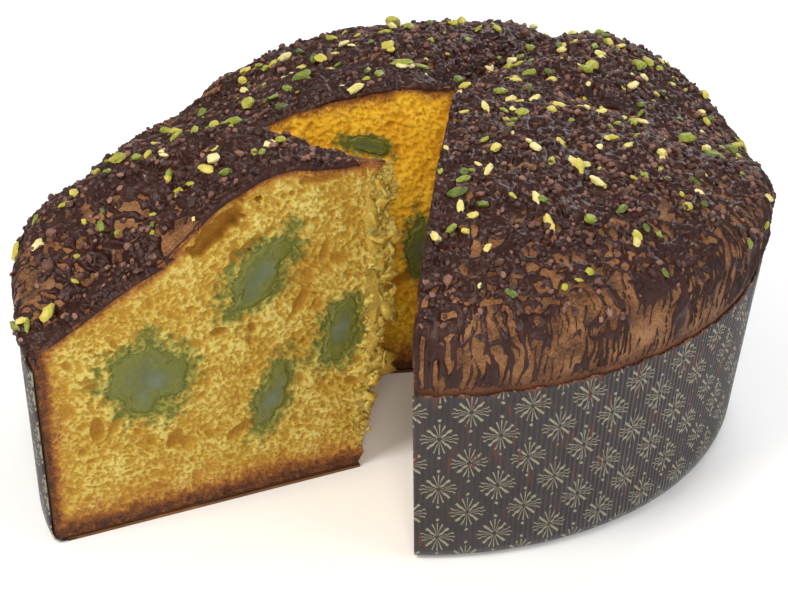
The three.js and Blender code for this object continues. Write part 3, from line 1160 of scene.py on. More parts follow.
@dataclass
class CutFace:
    """One cut face of the bread: a slab of crumb whose sides follow the crust and the wall."""

    name: str
    dome: Dome
    place: Place
    angle: float
    inward: float
    start: float
    step: float
    seed: int
    node: str
    is_tip: bool = False
    apex: tuple[float, float] | None = None
    fruit: tuple[Fruit, ...] = ()
    cavities: tuple[Cavity, ...] = ()
    # whether the face lies in shade in the notch and takes the brightened crumb copy, which is painted light
    is_painted_brighter: bool = False
    skirt: int = 5

    def tip(self, height: np.ndarray, depth: np.ndarray) -> np.ndarray:
        """Where the face starts, along it, at each height and depth: torn and leaning on the tip."""
        if not self.is_tip:
            return np.full(np.shape(height), self.start)
        lean = np.maximum(4.0 - np.tan(np.radians(8.0)) * height, self.start)
        points = np.stack([height, 1.4 * depth, np.full_like(height, 3.1)], axis=-1)
        noise = Noise(self.seed + 9)
        return lean + 2.6 * noise.fractal(points, 8.0, 4) + 0.7 * noise.fractal(points + 40.0, 1.8, 2) + 1.0

    def plan(self, along: np.ndarray, depth: np.ndarray) -> tuple[np.ndarray, np.ndarray]:
        """Plan points at distances along the face and depths into the bread."""
        cos, sin = math.cos(math.radians(self.angle)), math.sin(math.radians(self.angle))
        ax, ay = self.apex or self.dome.apex
        x = ax + cos * along - sin * self.inward * depth
        y = ay + sin * along + cos * self.inward * depth
        return x, y

    def reach(self, radius: np.ndarray, depth: np.ndarray) -> np.ndarray:
        """Length of the face, at a depth, out to a circle of that radius."""
        x, y = self.plan(np.zeros_like(depth), depth)
        return self.dome.reach(np.stack([x, y], axis=-1), self.angle, radius)

    def wall(self, height: np.ndarray) -> np.ndarray:
        """Radius of the bread's side at each height, up to the widest ring."""
        dome = self.dome
        mould = dome.mould
        side = mould.wall_radius(height, mould.paper + mould.gap)
        tuck = dome.tuck - CRUST_INSET
        ratio = np.clip((dome.widest - height) / tuck, 0.0, 1.0)
        bulge = (dome.radius - CRUST_INSET) * np.sqrt(1.0 - ratio**2)
        return np.where(height < mould.height, side, bulge)

    def points(
        self, u: np.ndarray, v: np.ndarray, depth: np.ndarray, sink: np.ndarray | float = 0.0
    ) -> tuple[np.ndarray, np.ndarray, np.ndarray]:
        """Own-frame points of the slab, with distance along the face and height.

        Args:
            u: share of the way from the apex to the outer wall.
            v: share of the way from the floor to the crust.
            depth: depth into the bread.
            sink: how far the sides lie inside the crust and the wall.

        Returns:
            The points (..., 3), the distances along the face and the heights.
        """
        full = self.reach(np.full_like(depth, self.dome.radius - CRUST_INSET), depth)
        start = self.start + (0.8 if self.is_tip else 0.0)
        top_along = start + u * (full - start)
        x, y = self.plan(top_along, depth)
        top = self.dome.crown_height(x, y, CRUST_INSET) - sink
        height = BREAD_FLOOR + sink + v * (top - BREAD_FLOOR - sink)
        ring = np.where(height > self.dome.widest, self.dome.radius - CRUST_INSET, self.wall(height))
        end = self.reach(ring - sink, depth)
        first = self.tip(height, depth)
        along = first + u * (end - first)
        x, y = self.plan(along, depth)
        return np.stack([x, y, height], axis=-1), along, height

    def rind(self, along: np.ndarray, height: np.ndarray) -> np.ndarray:
        """How baked the crumb is at each point, from its distances to the floor, wall and crust."""
        end = self.reach(np.full_like(along, self.dome.radius - CRUST_INSET), np.zeros_like(along))
        x, y = self.plan(along, np.zeros_like(along))
        top = self.dome.crown_height(x, y, CRUST_INSET) - height
        side = end - along
        spots = np.stack([along, height, np.zeros_like(along)], axis=-1)
        wobble = Noise(self.seed + 3).fractal(spots, 8.0, 3)
        floor = 0.92 * np.exp(-np.maximum(height - BREAD_FLOOR - 2.5, 0.0) / (4.6 + 2.0 * wobble))
        wall = 0.85 * np.exp(-np.maximum(side - 3.5, 0.0) / (2.4 + 1.2 * wobble))
        skin = 0.75 * np.exp(-np.maximum(top - 0.8, 0.0) / (2.4 + 1.6 * wobble))
        return np.clip(np.maximum(np.maximum(floor, wall), skin), 0.0, 1.0)

    def build(self, pantry: Pantry) -> bpy.types.Object:
        """Builds the slab.

        Args:
            pantry: the finishes.

        Returns:
            The slab's object.
        """
        step = self.step * 1.0
        width = float(self.reach(np.array([self.dome.radius]), np.zeros(1))[0]) - self.start
        crown = self.dome.widest + self.dome.rise
        columns, rows = int(width / step), int(crown / step)
        skirt = self.skirt
        mesh, grid_u, grid_v = grid_mesh(self.name, columns + 2 * skirt, rows + 2 * skirt)
        column = grid_u * (columns + 2 * skirt) - skirt
        row = grid_v * (rows + 2 * skirt) - skirt
        u, v = np.clip(column / columns, 0.0, 1.0), np.clip(row / rows, 0.0, 1.0)
        beyond = np.maximum(np.maximum(-column, column - columns), np.maximum(-row, row - rows))
        back = np.clip(beyond, 0.0, skirt) / skirt
        is_front = back <= 0.0
        _, along, height = self.points(u, v, np.zeros_like(u))
        limit = np.full_like(u, SLAB_DEPTH)
        if self.is_tip:
            limit = np.clip(0.42 * (along - self.start) + 1.0, 1.0, SLAB_DEPTH)
        pores = Pores(width, crown, self.seed, self.cavities)
        pit = pores.at(along, height)
        spot = np.stack([along, height, np.full_like(along, 0.5)], axis=-1)
        pit = pit + 0.1 * pores.noise.fractal(spot, 1.1, 3) + 0.32 * pores.noise.fractal(spot, 13.0, 2)
        rind = self.rind(along, height)
        pit = pit * (1.0 - 0.35 * rind) + 0.15
        soak = np.zeros_like(u)
        for piece in self.fruit:
            near = piece.closeness(along, height, self.fruit_noise())
            speck = 0.35 * pores.noise.fractal(spot + 90.0, 2.4, 2)
            soak = np.maximum(soak, smooth(near + speck, -0.45, 0.15))
            pit = np.where(near > FRUIT_RIM, pit + smooth(near - FRUIT_RIM, 0.0, 0.15) * 3.2, pit)
        pit = np.clip(pit, -0.3, 0.8 * limit)
        depth = np.where(is_front, pit, back * limit)
        points, _, _ = self.points(u, v, depth, 0.35 * back)
        face_points, _, _ = self.points(u, v, np.zeros_like(u))
        x, y = self.plan(along, depth)
        front = np.stack([x, y, face_points[..., 2]], axis=-1)
        lay(mesh, self.place.world(np.where(is_front[..., None], front, points)))
        is_crumb = is_front | (column < 0.0) | (self.is_tip & (along < 3.0))
        # this pit value darkens the crumb's colour with pore depth: painted shade in the pores
        tag(mesh, "pit", np.where(is_front, 0.85 * (1.0 - np.exp(-np.maximum(pit, 0.0) / 0.75)), 0.3))
        tag(mesh, "rind", np.where(is_crumb, rind, 2.0))
        tag(mesh, "soak", np.where(is_front, soak, 0.0))
        tag(mesh, "rim_darkening", smooth(RIM_DARK_TOP - height, 0.0, RIM_DARK_FADE))
        weld(mesh)
        # a face in shade takes the brightened crumb copy: painted light
        finish = pantry.brightened_crumb if self.is_painted_brighter else pantry.crumb
        piece = finish_piece(self.name, mesh, finish, (self.node,))
        side_material(mesh, pantry.crust, "rind", 1.5)
        return piece

    def fruit_noise(self) -> Noise:
        """The noise that shapes the outlines of this face's fruit."""
        return Noise(self.seed + 60)


@dataclass
class TornCrumb:
    """Tufts of torn crumb along the wedge's broken tip."""

    name: str
    face: CutFace
    node: str
    count: int = 420
    top: float = 101.0
    reach_down: float = 88.0
    clumps: tuple[float, ...] = (93.0, 76.0, 58.0, 37.0)
    clump_size: float = 4.5
    limit: float = -7.5
    roughen: float = 0.6

    def build(self, pantry: Pantry) -> bpy.types.Object:
        """Builds the tufts.

        Args:
            pantry: the finishes.

        Returns:
            The tufts' object.
        """
        rng = np.random.default_rng(self.face.seed + 21)
        bm = bmesh.new()
        layer = bm.verts.layers.float.new("pit")
        heights = self.top - self.reach_down * rng.uniform(0.0, 1.0, self.count) ** 1.2
        starts = self.face.tip(heights, np.zeros_like(heights))
        for height, start in zip(heights, starts):
            clump = sum(math.exp(-(((height - middle) / self.clump_size) ** 2)) for middle in self.clumps)
            spill = 1.2 + 4.0 * clump * rng.uniform(0.0, 1.0)
            x = max(float(start) - spill + 5.6 * rng.uniform(0.0, 1.0) ** 1.5, self.limit)
            y = 0.35 - 3.6 * rng.uniform(0.0, 1.0) ** 1.7
            made = bmesh.ops.create_icosphere(bm, subdivisions=2, radius=1.0)["verts"]
            size = (0.85 + 0.35 * clump) * math.exp(rng.normal(0.0, 0.5))
            for vert in made:
                vert.co *= 1.0 + self.roughen * rng.uniform(-1.0, 0.6)
                vert[layer] = rng.uniform(0.0, 0.5)
            shares = (rng.uniform(0.7, 2.0), 0.7, rng.uniform(0.4, 1.1))
            stretch = Matrix.Diagonal((*(size * share for share in shares), 1.0))
            spin = Matrix.Rotation(rng.uniform(-1.4, 1.4), 4, "Y")
            where = Matrix.Scale(MM, 4) @ Matrix.Translation((x, y, float(height)))
            matrix = self.face.place.matrix() @ where @ spin @ stretch
            bmesh.ops.transform(bm, matrix=matrix, verts=made)
        mesh = bpy.data.meshes.new(self.name)
        bm.to_mesh(mesh)
        bm.free()
        return finish_piece(self.name, mesh, pantry.crumb, (self.node,))


@dataclass
class FruitPiece:
    """Builds one candied fruit, cut where the knife went through it."""

    fruit: Fruit
    face: CutFace
    node: str
    fineness: int = 5

    def build(self, pantry: Pantry) -> bpy.types.Object:
        """Builds the piece.

        Args:
            pantry: the finishes.

        Returns:
            The piece's object.
        """
        fruit, face = self.fruit, self.face
        bm = bmesh.new()
        bmesh.ops.create_icosphere(bm, subdivisions=self.fineness - int(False), radius=1.0)
        mesh = bpy.data.meshes.new(fruit.name)
        bm.to_mesh(mesh)
        bm.free()
        flat = np.zeros(len(mesh.vertices) * 3)
        mesh.vertices.foreach_get("co", flat)
        ball = flat.reshape(-1, 3)
        share = np.hypot(ball[:, 0], ball[:, 2])
        bearing = np.arctan2(ball[:, 2], ball[:, 0])
        noise = face.fruit_noise()
        reach = fruit.outline(bearing, noise, FRUIT_RIM - 0.09)
        along = fruit.along + np.cos(bearing) * share * reach
        height = fruit.height + np.sin(bearing) * share * reach
        near = fruit.closeness(along, height, noise) - FRUIT_RIM
        spot = np.stack([along, height, np.zeros_like(along)], axis=-1)
        grain = 0.32 * noise.fractal(spot + 33.0, 1.3, 2) * smooth(0.5 - near, 0.0, 0.4)
        front = 0.12 + 0.6 * smooth(0.14 - near, 0.0, 0.15) + grain
        back = front + fruit.half[1] * np.sqrt(np.maximum(1.0 - share**2, 0.0))
        depth = np.where(ball[:, 1] <= 0.0, front, back)
        x, y = face.plan(along, depth)
        lay(mesh, face.place.world(np.stack([x, y, height], axis=-1)))
        tag(mesh, "core", np.clip(near, 0.0, 1.0))
        weld(mesh, is_filled=False)
        return finish_piece(fruit.name, mesh, pantry.fruit, (self.node,))


# ---------------------------------------------------------------- bread behind the cut faces


@dataclass
class BreadBody:
    """The bread behind its cut faces: crust dome, wall and floor, closed by two flat cuts."""

    name: str
    dome: Dome
    place: Place
    node: str
    step: float = 1.3
    overlap: float = 1.0     # how far the body reaches into the slabs of its cut faces

    HEIGHTS: ClassVar[tuple[float, ...]] = (
        BREAD_FLOOR, BREAD_FLOOR, BREAD_FLOOR + 0.6, BREAD_FLOOR + 1.6, 4.3, 20.0, 40.0, 58.0,
    )

    def build(self, pantry: Pantry) -> bpy.types.Object:
        """Builds the body.

        Args:
            pantry: the finishes.

        Returns:
            The body's object.
        """
        dome = self.dome
        span = dome.last - dome.first
        middle = math.radians((dome.first + dome.last) / 2.0)
        shift = (SLAB_DEPTH - self.overlap) / abs(math.sin(math.radians(span / 2.0)))
        apex = (dome.apex[0] + shift * math.cos(middle), dome.apex[1] + shift * math.sin(middle))
        inner = replace(dome, apex=apex)
        mould = dome.mould
        step = self.step * 1.0
        dome_rows = int(dome.length() / step)
        lower_rows = len(self.HEIGHTS)
        columns = int(math.radians(span) * dome.radius / step)
        mesh, grid_u, grid_v = grid_mesh(self.name, columns, lower_rows + dome_rows)
        angle = dome.first + grid_u * span
        row = np.rint(grid_v * (lower_rows + dome_rows)).astype(int)
        distance = np.maximum(row - lower_rows, 0) / dome_rows * dome.outline(CRUST_INSET)[0][-1]
        upper = inner.surface(angle, distance, CRUST_INSET)
        height = np.array(self.HEIGHTS)[np.minimum(row, lower_rows - 1)]
        ring = mould.wall_radius(height, mould.paper + mould.gap)
        away = np.where(row > 0, 1.0, 0.0) * inner.reach(np.array(apex), angle, ring)
        x = apex[0] + away * np.cos(np.radians(angle))
        y = apex[1] + away * np.sin(np.radians(angle))
        lower = np.stack([x, y, height], axis=-1)
        points = np.where((row >= lower_rows)[..., None], upper, lower)
        lay(mesh, self.place.world(points))
        tag(mesh, "rim_darkening", smooth(RIM_DARK_TOP - points[..., 2], 0.0, RIM_DARK_FADE))
        self.close(mesh)
        return finish_piece(self.name, mesh, pantry.crust, (self.node,))

    def close(self, mesh: bpy.types.Mesh) -> None:
        """Merges the poles, fills the two cuts and turns the faces outwards."""
        bm = bmesh.new()
        bm.from_mesh(mesh)
        bmesh.ops.remove_doubles(bm, verts=bm.verts, dist=MERGE_DISTANCE)
        rim = [edge for edge in bm.edges if edge.is_boundary]
        verts = {vert for edge in rim for vert in edge.verts}
        poles = [vert for vert in verts if len(vert.link_edges) > 6]
        if len(poles) == 2:
            bm.edges.new(poles)
        bmesh.ops.holes_fill(bm, edges=bm.edges)
        bmesh.ops.recalc_face_normals(bm, faces=bm.faces)
        bm.to_mesh(mesh)
        bm.free()


# ---------------------------------------------------------------- glaze


@dataclass
class Glaze:
    """The chocolate glaze: thick and ropy on the crown, running into strands above the rim."""

    name: str
    dome: Dome
    place: Place
    node: str
    sheets: int
    seed: int
    step: float = 0.45
    bare: tuple[tuple[float, float, float], ...] = ()

    BROAD: ClassVar[float] = 14.0                        # sizes of the noises
    LUMP: ClassVar[float] = 4.4
    ROPES: ClassVar[tuple[float, float]] = (7.0, 4.6)
    HOLE: ClassVar[float] = 3.6
    CUT_DRAG: ClassVar[float] = 5.0                      # how far the knife dragged the chocolate
    RUN: ClassVar[tuple[float, float]] = (2.5, 34.0)     # pitch and length of the strands
    CROSS: ClassVar[tuple[float, float]] = (4.6, 10.0)   # and of those that cross them
    STRANDS_END: ClassVar[tuple[float, float]] = (11.0, 30.0)
    CROWN: ClassVar[tuple[float, float]] = (26.0, 64.0)  # where the coat grows full, up from the edge

    def ropes(self, points: np.ndarray, size: float, seed: int) -> np.ndarray:
        """Ridged noise: 1 along the middle of a rope, falling to about -1 between ropes."""
        return 1.0 - 3.2 * np.abs(Noise(self.seed + seed).fractal(points + 13.0 * seed, size, 2))

    def crown_coat(self, distance: np.ndarray, points: np.ndarray) -> np.ndarray:
        """The coat on the upper dome: knotted ropes with small round holes between them.

        Args:
            distance: arc length up from the edge.
            points: the crust's points there.

        Returns:
            The thickness in millimetres, negative in the holes.
        """
        noise = Noise(self.seed)
        broad = noise.fractal(points, self.BROAD, 2)
        lump = noise.fractal(points + 31.0, self.LUMP, 2)
        rope = np.maximum(self.ropes(points, self.ROPES[0], 1), self.ropes(points, self.ROPES[1], 2))
        crown = smooth(distance + 7.0 * broad, *self.CROWN)
        coat = -0.1 + 0.5 * crown + 1.2 * np.maximum(rope, -0.4) + 0.45 * lump + 0.3 * broad
        holes = np.maximum(noise.fractal(points + 53.0, self.HOLE, 2) - 0.36, 0.0)
        return coat - (4.0 - 1.5 * crown) * holes

    def strands(self, distance: np.ndarray, points: np.ndarray) -> np.ndarray:
        """The runs of chocolate that thin out towards the rim, with bare crust between them.

        Args:
            distance: arc length up from the edge.
            points: the crust's points there.

        Returns:
            The thickness in millimetres, negative on the bare crust.
        """
        noise = Noise(self.seed)
        bearing = np.arctan2(points[..., 1], points[..., 0]) * self.dome.radius
        blank = np.zeros_like(bearing)
        warp = 1.5 * noise.fractal(points + 11.0, 11.0, 2)
        run = np.stack([(bearing + warp) / self.RUN[0], distance / self.RUN[1], blank], axis=-1)
        slant = bearing - 0.25 * distance + 2.0 * warp
        cross = np.stack([slant / self.CROSS[0], distance / self.CROSS[1], blank + 4.0], axis=-1)
        straight = 1.0 - np.abs(noise.at(run)) * 4.4
        crossing = 1.0 - np.abs(noise.at(cross)) * 4.4 - 0.8 * smooth(14.0 - distance, 0.0, 8.0)
        line = np.maximum(np.maximum(straight, crossing), -0.5)
        broad = noise.fractal(points, self.BROAD, 2)
        lump = noise.fractal(points + 31.0, self.LUMP, 2)
        end = 1.0 + 6.0 * noise.at(np.stack([bearing / 3.0, blank, blank + 9.0], axis=-1))
        coat = -0.6 + 1.45 * line + 0.8 * broad + 0.3 * lump
        return coat - 1.3 * smooth(end - distance, 0.0, 4.0)

    def thickness(self, distance: np.ndarray, points: np.ndarray) -> np.ndarray:
        """Height of the chocolate above the crust, negative where the crust shows.

        Args:
            distance: arc length up from the edge.
            points: the crust's points there.

        Returns:
            The thickness in millimetres.
        """
        noise = Noise(self.seed)
        broad = noise.fractal(points, self.BROAD, 2)
        upper = smooth(distance + 7.0 * broad, *self.STRANDS_END)
        thick = self.crown_coat(distance, points) * upper + self.strands(distance, points) * (1.0 - upper)
        edge = self.dome.cut_distance(points)
        drag = noise.fractal(points + 71.0, self.CUT_DRAG, 3)
        thick = thick + 0.9 * smooth(self.CUT_DRAG - edge, 0.0, self.CUT_DRAG) * drag
        lump = noise.fractal(points + 31.0, self.LUMP, 2)
        for x, y, radius in self.bare:
            gap = np.hypot(points[..., 0] - x, points[..., 1] - y) + 2.0 * lump
            thick = thick - 3.0 * smooth(radius - gap, 0.0, 2.5)
        return thick

    def surface(self, angle: np.ndarray, distance: np.ndarray) -> tuple[np.ndarray, np.ndarray, np.ndarray]:
        """The glaze's own-frame points, normals and thickness."""
        frame_of = self.dome.grid_frame if angle.ndim == 2 else self.dome.frame_at
        points, normal = frame_of(angle, distance, CRUST_INSET)
        thick = self.thickness(distance, points)
        return points + normal * np.maximum(thick, -0.7)[..., None], normal, thick

    def build(self, pantry: Pantry) -> list[bpy.types.Object]:
        """Builds the glaze in sheets side by side.

        Args:
            pantry: the finishes.

        Returns:
            The sheets' objects.
        """
        dome = self.dome
        step = self.step * 1.0
        span = (dome.last - dome.first) / self.sheets
        arc = dome.outline(CRUST_INSET)[0][-1]
        columns = int(math.radians(span) * dome.radius / step)
        rows = int(arc / step)
        made = []
        for sheet in range(self.sheets):
            name = f"{self.name}_{sheet + 1}"
            mesh, grid_u, grid_v = grid_mesh(name, columns, rows + 1)
            angle = dome.first + (sheet + grid_u) * span
            distance = np.maximum(grid_v * (rows + 1) - 1.0, 0.0) / rows * arc * 0.9995
            points, normal, thick = self.surface(angle, distance)
            is_low = grid_v * (rows + 1) < 0.5
            points = np.where(is_low[..., None], points - normal * 1.2, points)
            ends = self.cut_ends(grid_u, sheet, columns)
            points = points - np.where(ends, np.maximum(thick, 0.0) + 0.9, 0.0)[..., None] * normal
            lay(mesh, self.place.world(points))
            self.trim(mesh, thick)
            made.append(finish_piece(name, mesh, pantry.chocolate, (self.node,)))
        return made

    def cut_ends(self, grid_u: np.ndarray, sheet: int, columns: int) -> np.ndarray:
        """Which columns lie on a cut face, where the glaze turns down to show its thickness."""
        at_first = (grid_u * columns < 0.5) & (sheet == 0)
        at_last = (grid_u * columns > columns - 0.5) & (sheet == self.sheets - 1)
        return at_first | at_last

    def trim(self, mesh: bpy.types.Mesh, thick: np.ndarray) -> None:
        """Removes the parts that lie under the crust, and merges the crown."""
        bm = bmesh.new()
        bm.from_mesh(mesh)
        bm.verts.ensure_lookup_table()
        buried = thick.ravel() < -0.45
        hidden = [face for face in bm.faces if all(buried[vert.index] for vert in face.verts)]
        bmesh.ops.delete(bm, geom=hidden, context="FACES")
        bmesh.ops.remove_doubles(bm, verts=bm.verts, dist=MERGE_DISTANCE)
        bm.to_mesh(mesh)
        bm.free()


# ---------------------------------------------------------------- sprinkles


class Sprinkle(Enum):
    """What is strewn on the glaze."""

    NIB = "cocoa_nibs"
    NUT = "pistachios"


@dataclass(frozen=True)
class Bits:
    """How one kind of sprinkle is made: sizes in millimetres, shapes as shares of the size."""

    slot: Slot
    size: float
    spread: float
    length: tuple[float, float]
    thickness: tuple[float, float]
    sink: float
    low: float
    patch: float
    roughen: float
    subdivisions: int


BITS = {
    Sprinkle.NIB: Bits(Slot.NIB, 0.78, 0.23, (1.0, 1.6), (0.7, 1.0), 0.55, 14.0, 1.0, 0.3, 1),
    Sprinkle.NUT: Bits(Slot.PISTACHIO, 1.1, 0.35, (1.2, 2.3), (0.5, 0.85), 0.25, 14.0, 0.25, 0.22, 2),
}


@dataclass
class Sprinkles:
    """Cocoa nibs and chopped pistachios pressed into the glaze of one body."""

    name: str
    glaze: Glaze
    nibs: int
    nuts: int
    seed: int
    margin: float = 1.5
    nodes: tuple[str, ...] = ()

    BATCH: ClassVar[int] = 4000          # places drawn at a time
    PATCH: ClassVar[float] = 15.0        # size of the patches in which the bits gather
    FADE: ClassVar[float] = 45.0         # how far up from the lowest bits they grow dense

    def spots(
        self, rng: np.random.Generator, count: int, low: float, patch: float
    ) -> tuple[np.ndarray, np.ndarray]:
        """Places on the glaze, spread evenly over its plan and then thinned into patches.

        Args:
            rng: the random source.
            count: how many are wanted.
            low: the least distance up from the glaze's edge.
            patch: how strongly they gather.

        Returns:
            Angles and distances.
        """
        dome = self.glaze.dome
        arc = dome.outline(CRUST_INSET)[0][-1]
        angles: list[float] = []
        distances: list[float] = []
        noise = Noise(self.seed + 4)
        while len(angles) < count:
            angle = rng.uniform(dome.first, dome.last, self.BATCH)
            share = rng.uniform(0.0, 1.0, self.BATCH)
            distance = arc * (1.0 - np.sqrt(share))
            points = dome.surface(angle, distance, CRUST_INSET)
            away = dome.cut_distance(points)
            gather = patch * noise.fractal(points, self.PATCH, 2)
            chance = 0.25 + gather + 0.5 * smooth(distance, low, low + self.FADE)
            is_inside = (distance > low) & (distance < arc - 1.0) & (away > self.margin)
            keep = (rng.uniform(size=self.BATCH) < chance) & is_inside
            angles.extend(angle[keep])
            distances.extend(distance[keep])
        return np.array(angles[:count]), np.array(distances[:count])

    def scatter(
        self,
        kind: Sprinkle,
        material: bpy.types.Material,
        seats: list[tuple[Matrix, float]],
        nodes: tuple[str, ...] = (),
    ) -> bpy.types.Object:
        """Makes one mesh of many bits.

        Args:
            kind: what the bits are.
            material: their finish.
            seats: the place, turn and size of each bit, in metres, and its shade.
            nodes: the CAD nodes that the bits stand for.

        Returns:
            The piece's object.
        """
        bits = BITS[kind]
        rng = np.random.default_rng(self.seed + 77)
        bm = bmesh.new()
        layer = bm.verts.layers.float.new("shade")
        for matrix, shade in seats:
            made = bmesh.ops.create_icosphere(bm, subdivisions=bits.subdivisions, radius=1.0)["verts"]
            for vert in made:
                vert.co *= 1.0 + bits.roughen * rng.uniform(-1.0, 0.6)
                vert[layer] = shade
            bmesh.ops.transform(bm, matrix=matrix, verts=made)
        name = f"{self.name}_{kind.value}"
        mesh = bpy.data.meshes.new(name)
        bm.to_mesh(mesh)
        bm.free()
        return finish_piece(name, mesh, material, nodes, is_smooth=False)

    def seat(
        self, point: np.ndarray, normal: np.ndarray, turn: float,
        half: tuple[float, float, float], sink: float,
    ) -> Matrix:
        """The matrix that puts a bit on a surface, in metres.

        Args:
            point: the surface point.
            normal: the direction away from the surface.
            turn: its turn about the normal, in radians.
            half: its half sizes in millimetres.
            sink: how far it is pressed in, in millimetres.

        Returns:
            The matrix.
        """
        up = Vector(normal)
        stand = up.to_track_quat("Z", "Y").to_matrix().to_4x4()
        spin = Matrix.Rotation(turn, 4, "Z")
        size = Matrix.Diagonal((half[0] * MM, half[1] * MM, half[2] * MM, 1.0))
        lifted = Vector(point) + up * ((half[2] - sink) * MM)
        return Matrix.Translation(lifted) @ stand @ spin @ size

    def build(self, pantry: Pantry) -> None:
        """Builds the nibs and the nuts.

        Args:
            pantry: the finishes.
        """
        rng = np.random.default_rng(self.seed)
        nibs = self.nibs // 1
        self.scatter(Sprinkle.NIB, pantry.nib, self.seats(rng, Sprinkle.NIB, nibs))
        nuts = self.seats(rng, Sprinkle.NUT, self.nuts) + self.node_seats(rng)
        self.scatter(Sprinkle.NUT, pantry.pistachio, nuts, self.nodes)

    def seats(self, rng: np.random.Generator, kind: Sprinkle, count: int) -> list[tuple[Matrix, float]]:
        """Places bits of one kind on the glaze.

        Args:
            rng: the random source.
            kind: what the bits are.
            count: how many there are.

        Returns:
            The matrix and the shade of each bit.
        """
        bits = BITS[kind]
        place = self.glaze.place
        angle, distance = self.spots(rng, count, bits.low, bits.patch)
        points, normals, _ = self.glaze.surface(angle, distance)
        world = place.world(points)
        turned = Place(0.0, 0.0, place.turn).world(normals) / MM
        made = []
        for index in range(count):
            tilt = turned[index] + rng.normal(0.0, 0.3, 3)
            tilt = tilt / np.linalg.norm(tilt)
            size = bits.size * math.exp(rng.normal(0.0, bits.spread))
            half = (size * rng.uniform(*bits.length), size, size * rng.uniform(*bits.thickness))
            turn = rng.uniform(0.0, 2.0 * math.pi)
            matrix = self.seat(world[index], tilt, turn, half, bits.sink * size)
            shade = float(rng.uniform(0.0, 1.0))
            if not self.is_proud(matrix):
                made.append((matrix, shade))
        return made

    def is_proud(self, matrix: Matrix) -> bool:
        """Whether a bit with that matrix would stand out past the CAD box."""
        low, high = CAD_BOX
        for axis in range(3):
            centre, reach = matrix.translation[axis], matrix.row[axis].to_3d().length
            if centre - reach < low[axis] or centre + reach > high[axis]:
                return True
        return False

    def node_seats(self, rng: np.random.Generator) -> list[tuple[Matrix, float]]:
        """Seats of the largest pistachios, at the places of their CAD nodes but sunk to the glaze."""
        seats = []
        for node in self.nodes:
            low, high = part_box(node)
            centre = (Vector(low) + Vector(high)) / 2.0
            half_box = (Vector(high) - Vector(low)) / 2.0
            half = (1.1 * half_box.x / MM, 0.85 * half_box.y / MM, max(0.9 * half_box.z / MM, 0.9))
            point = np.array([centre.x, centre.y, centre.z - half_box.z - 0.9 * MM])
            tilt = np.array([0.0, 0.0, 1.0]) + rng.normal(0.0, 0.15, 3)
            turn = rng.uniform(0.0, 2.0 * math.pi)
            matrix = self.seat(point, tilt / np.linalg.norm(tilt), turn, half, 0.3)
            seats.append((matrix, float(rng.uniform(0.1, 0.9))))
        return seats


# ---------------------------------------------------------------- paper


@dataclass
class PaperBand:
    """A length of corrugated band, with its turned-in foot and its printed outside."""

    name: str
    dome: Dome
    place: Place
    node: str
    flute: float = 1.6
    flute_depth: float = 0.2
    samples: int = 8
    turned_in: float = 3.5
    sheet: float = 0.45

    HEIGHTS: ClassVar[tuple[float, ...]] = (
        0.3, 0.3, 0.8, 1.8, 4.3, 10.0, 18.0, 27.0, 36.0, 45.0, 53.0, 57.0, 59.0, 60.0,
    )

    def build(self, pantry: Pantry) -> bpy.types.Object:
        """Builds the band.

        Args:
            pantry: the finishes.

        Returns:
            The band's object.
        """
        dome = self.dome
        span = dome.last - dome.first
        samples = self.samples // 1
        mould = dome.mould
        columns = int(math.radians(span) * mould.rim_radius / self.flute * samples)
        heights = np.array(self.HEIGHTS)
        mesh, grid_u, grid_v = grid_mesh(self.name, columns, heights.size - 1)
        row = np.rint(grid_v * (heights.size - 1)).astype(int)
        height = heights[row]
        angle = dome.first + grid_u * span
        ring = mould.wall_radius(height, 0.0) - np.where(row == 0, self.turned_in, 0.0)
        away = dome.reach(np.array(dome.apex), angle, ring)
        x = dome.apex[0] + away * np.cos(np.radians(angle))
        y = dome.apex[1] + away * np.sin(np.radians(angle))
        bearing = np.unwrap(np.arctan2(y, x), axis=1)
        around = bearing * (mould.foot_radius + mould.rim_radius) / 2.0
        noise = Noise(61)
        crinkle = noise.fractal(np.stack([around, height * 0.5, np.zeros_like(around)], axis=-1), 7.0, 3)
        share = np.clip((height - 3.0) / 5.0, 0.0, 1.0)
        depth = self.flute_depth * (np.cos(2.0 * np.pi * around / self.flute) - 1.0)
        out = share * (depth + 0.3 * crinkle * smooth(height, 30.0, 60.0)) - 0.1
        edge = np.stack([around, np.zeros_like(around), np.ones_like(around)], axis=-1)
        rim = noise.fractal(edge, 4.0, 4)
        height = height + np.where(row == heights.size - 1, 0.7 * rim - 0.3, 0.0)
        radius = np.hypot(x, y)
        points = np.stack([x * (1.0 + out / radius), y * (1.0 + out / radius), height], axis=-1)
        lay(mesh, self.place.world(points))
        self.unwrap(mesh, around, height)
        piece = finish_piece(self.name, mesh, pantry.paper, (self.node,))
        wall = piece.modifiers.new("paper", "SOLIDIFY")
        wall.thickness = self.sheet * MM
        wall.offset = -1.0
        return piece

    def unwrap(self, mesh: bpy.types.Mesh, around: np.ndarray, height: np.ndarray) -> None:
        """Gives the band UVs in metres round it and up it."""
        layer = mesh.uv_layers.new(name="band")
        corners = np.zeros(len(mesh.loops), dtype=np.int32)
        mesh.loops.foreach_get("vertex_index", corners)
        flat = np.stack([around.ravel(), height.ravel()], axis=-1) * MM
        layer.data.foreach_set("uv", flat[corners].astype(np.float32).ravel())


# ---------------------------------------------------------------- the two halves of the object


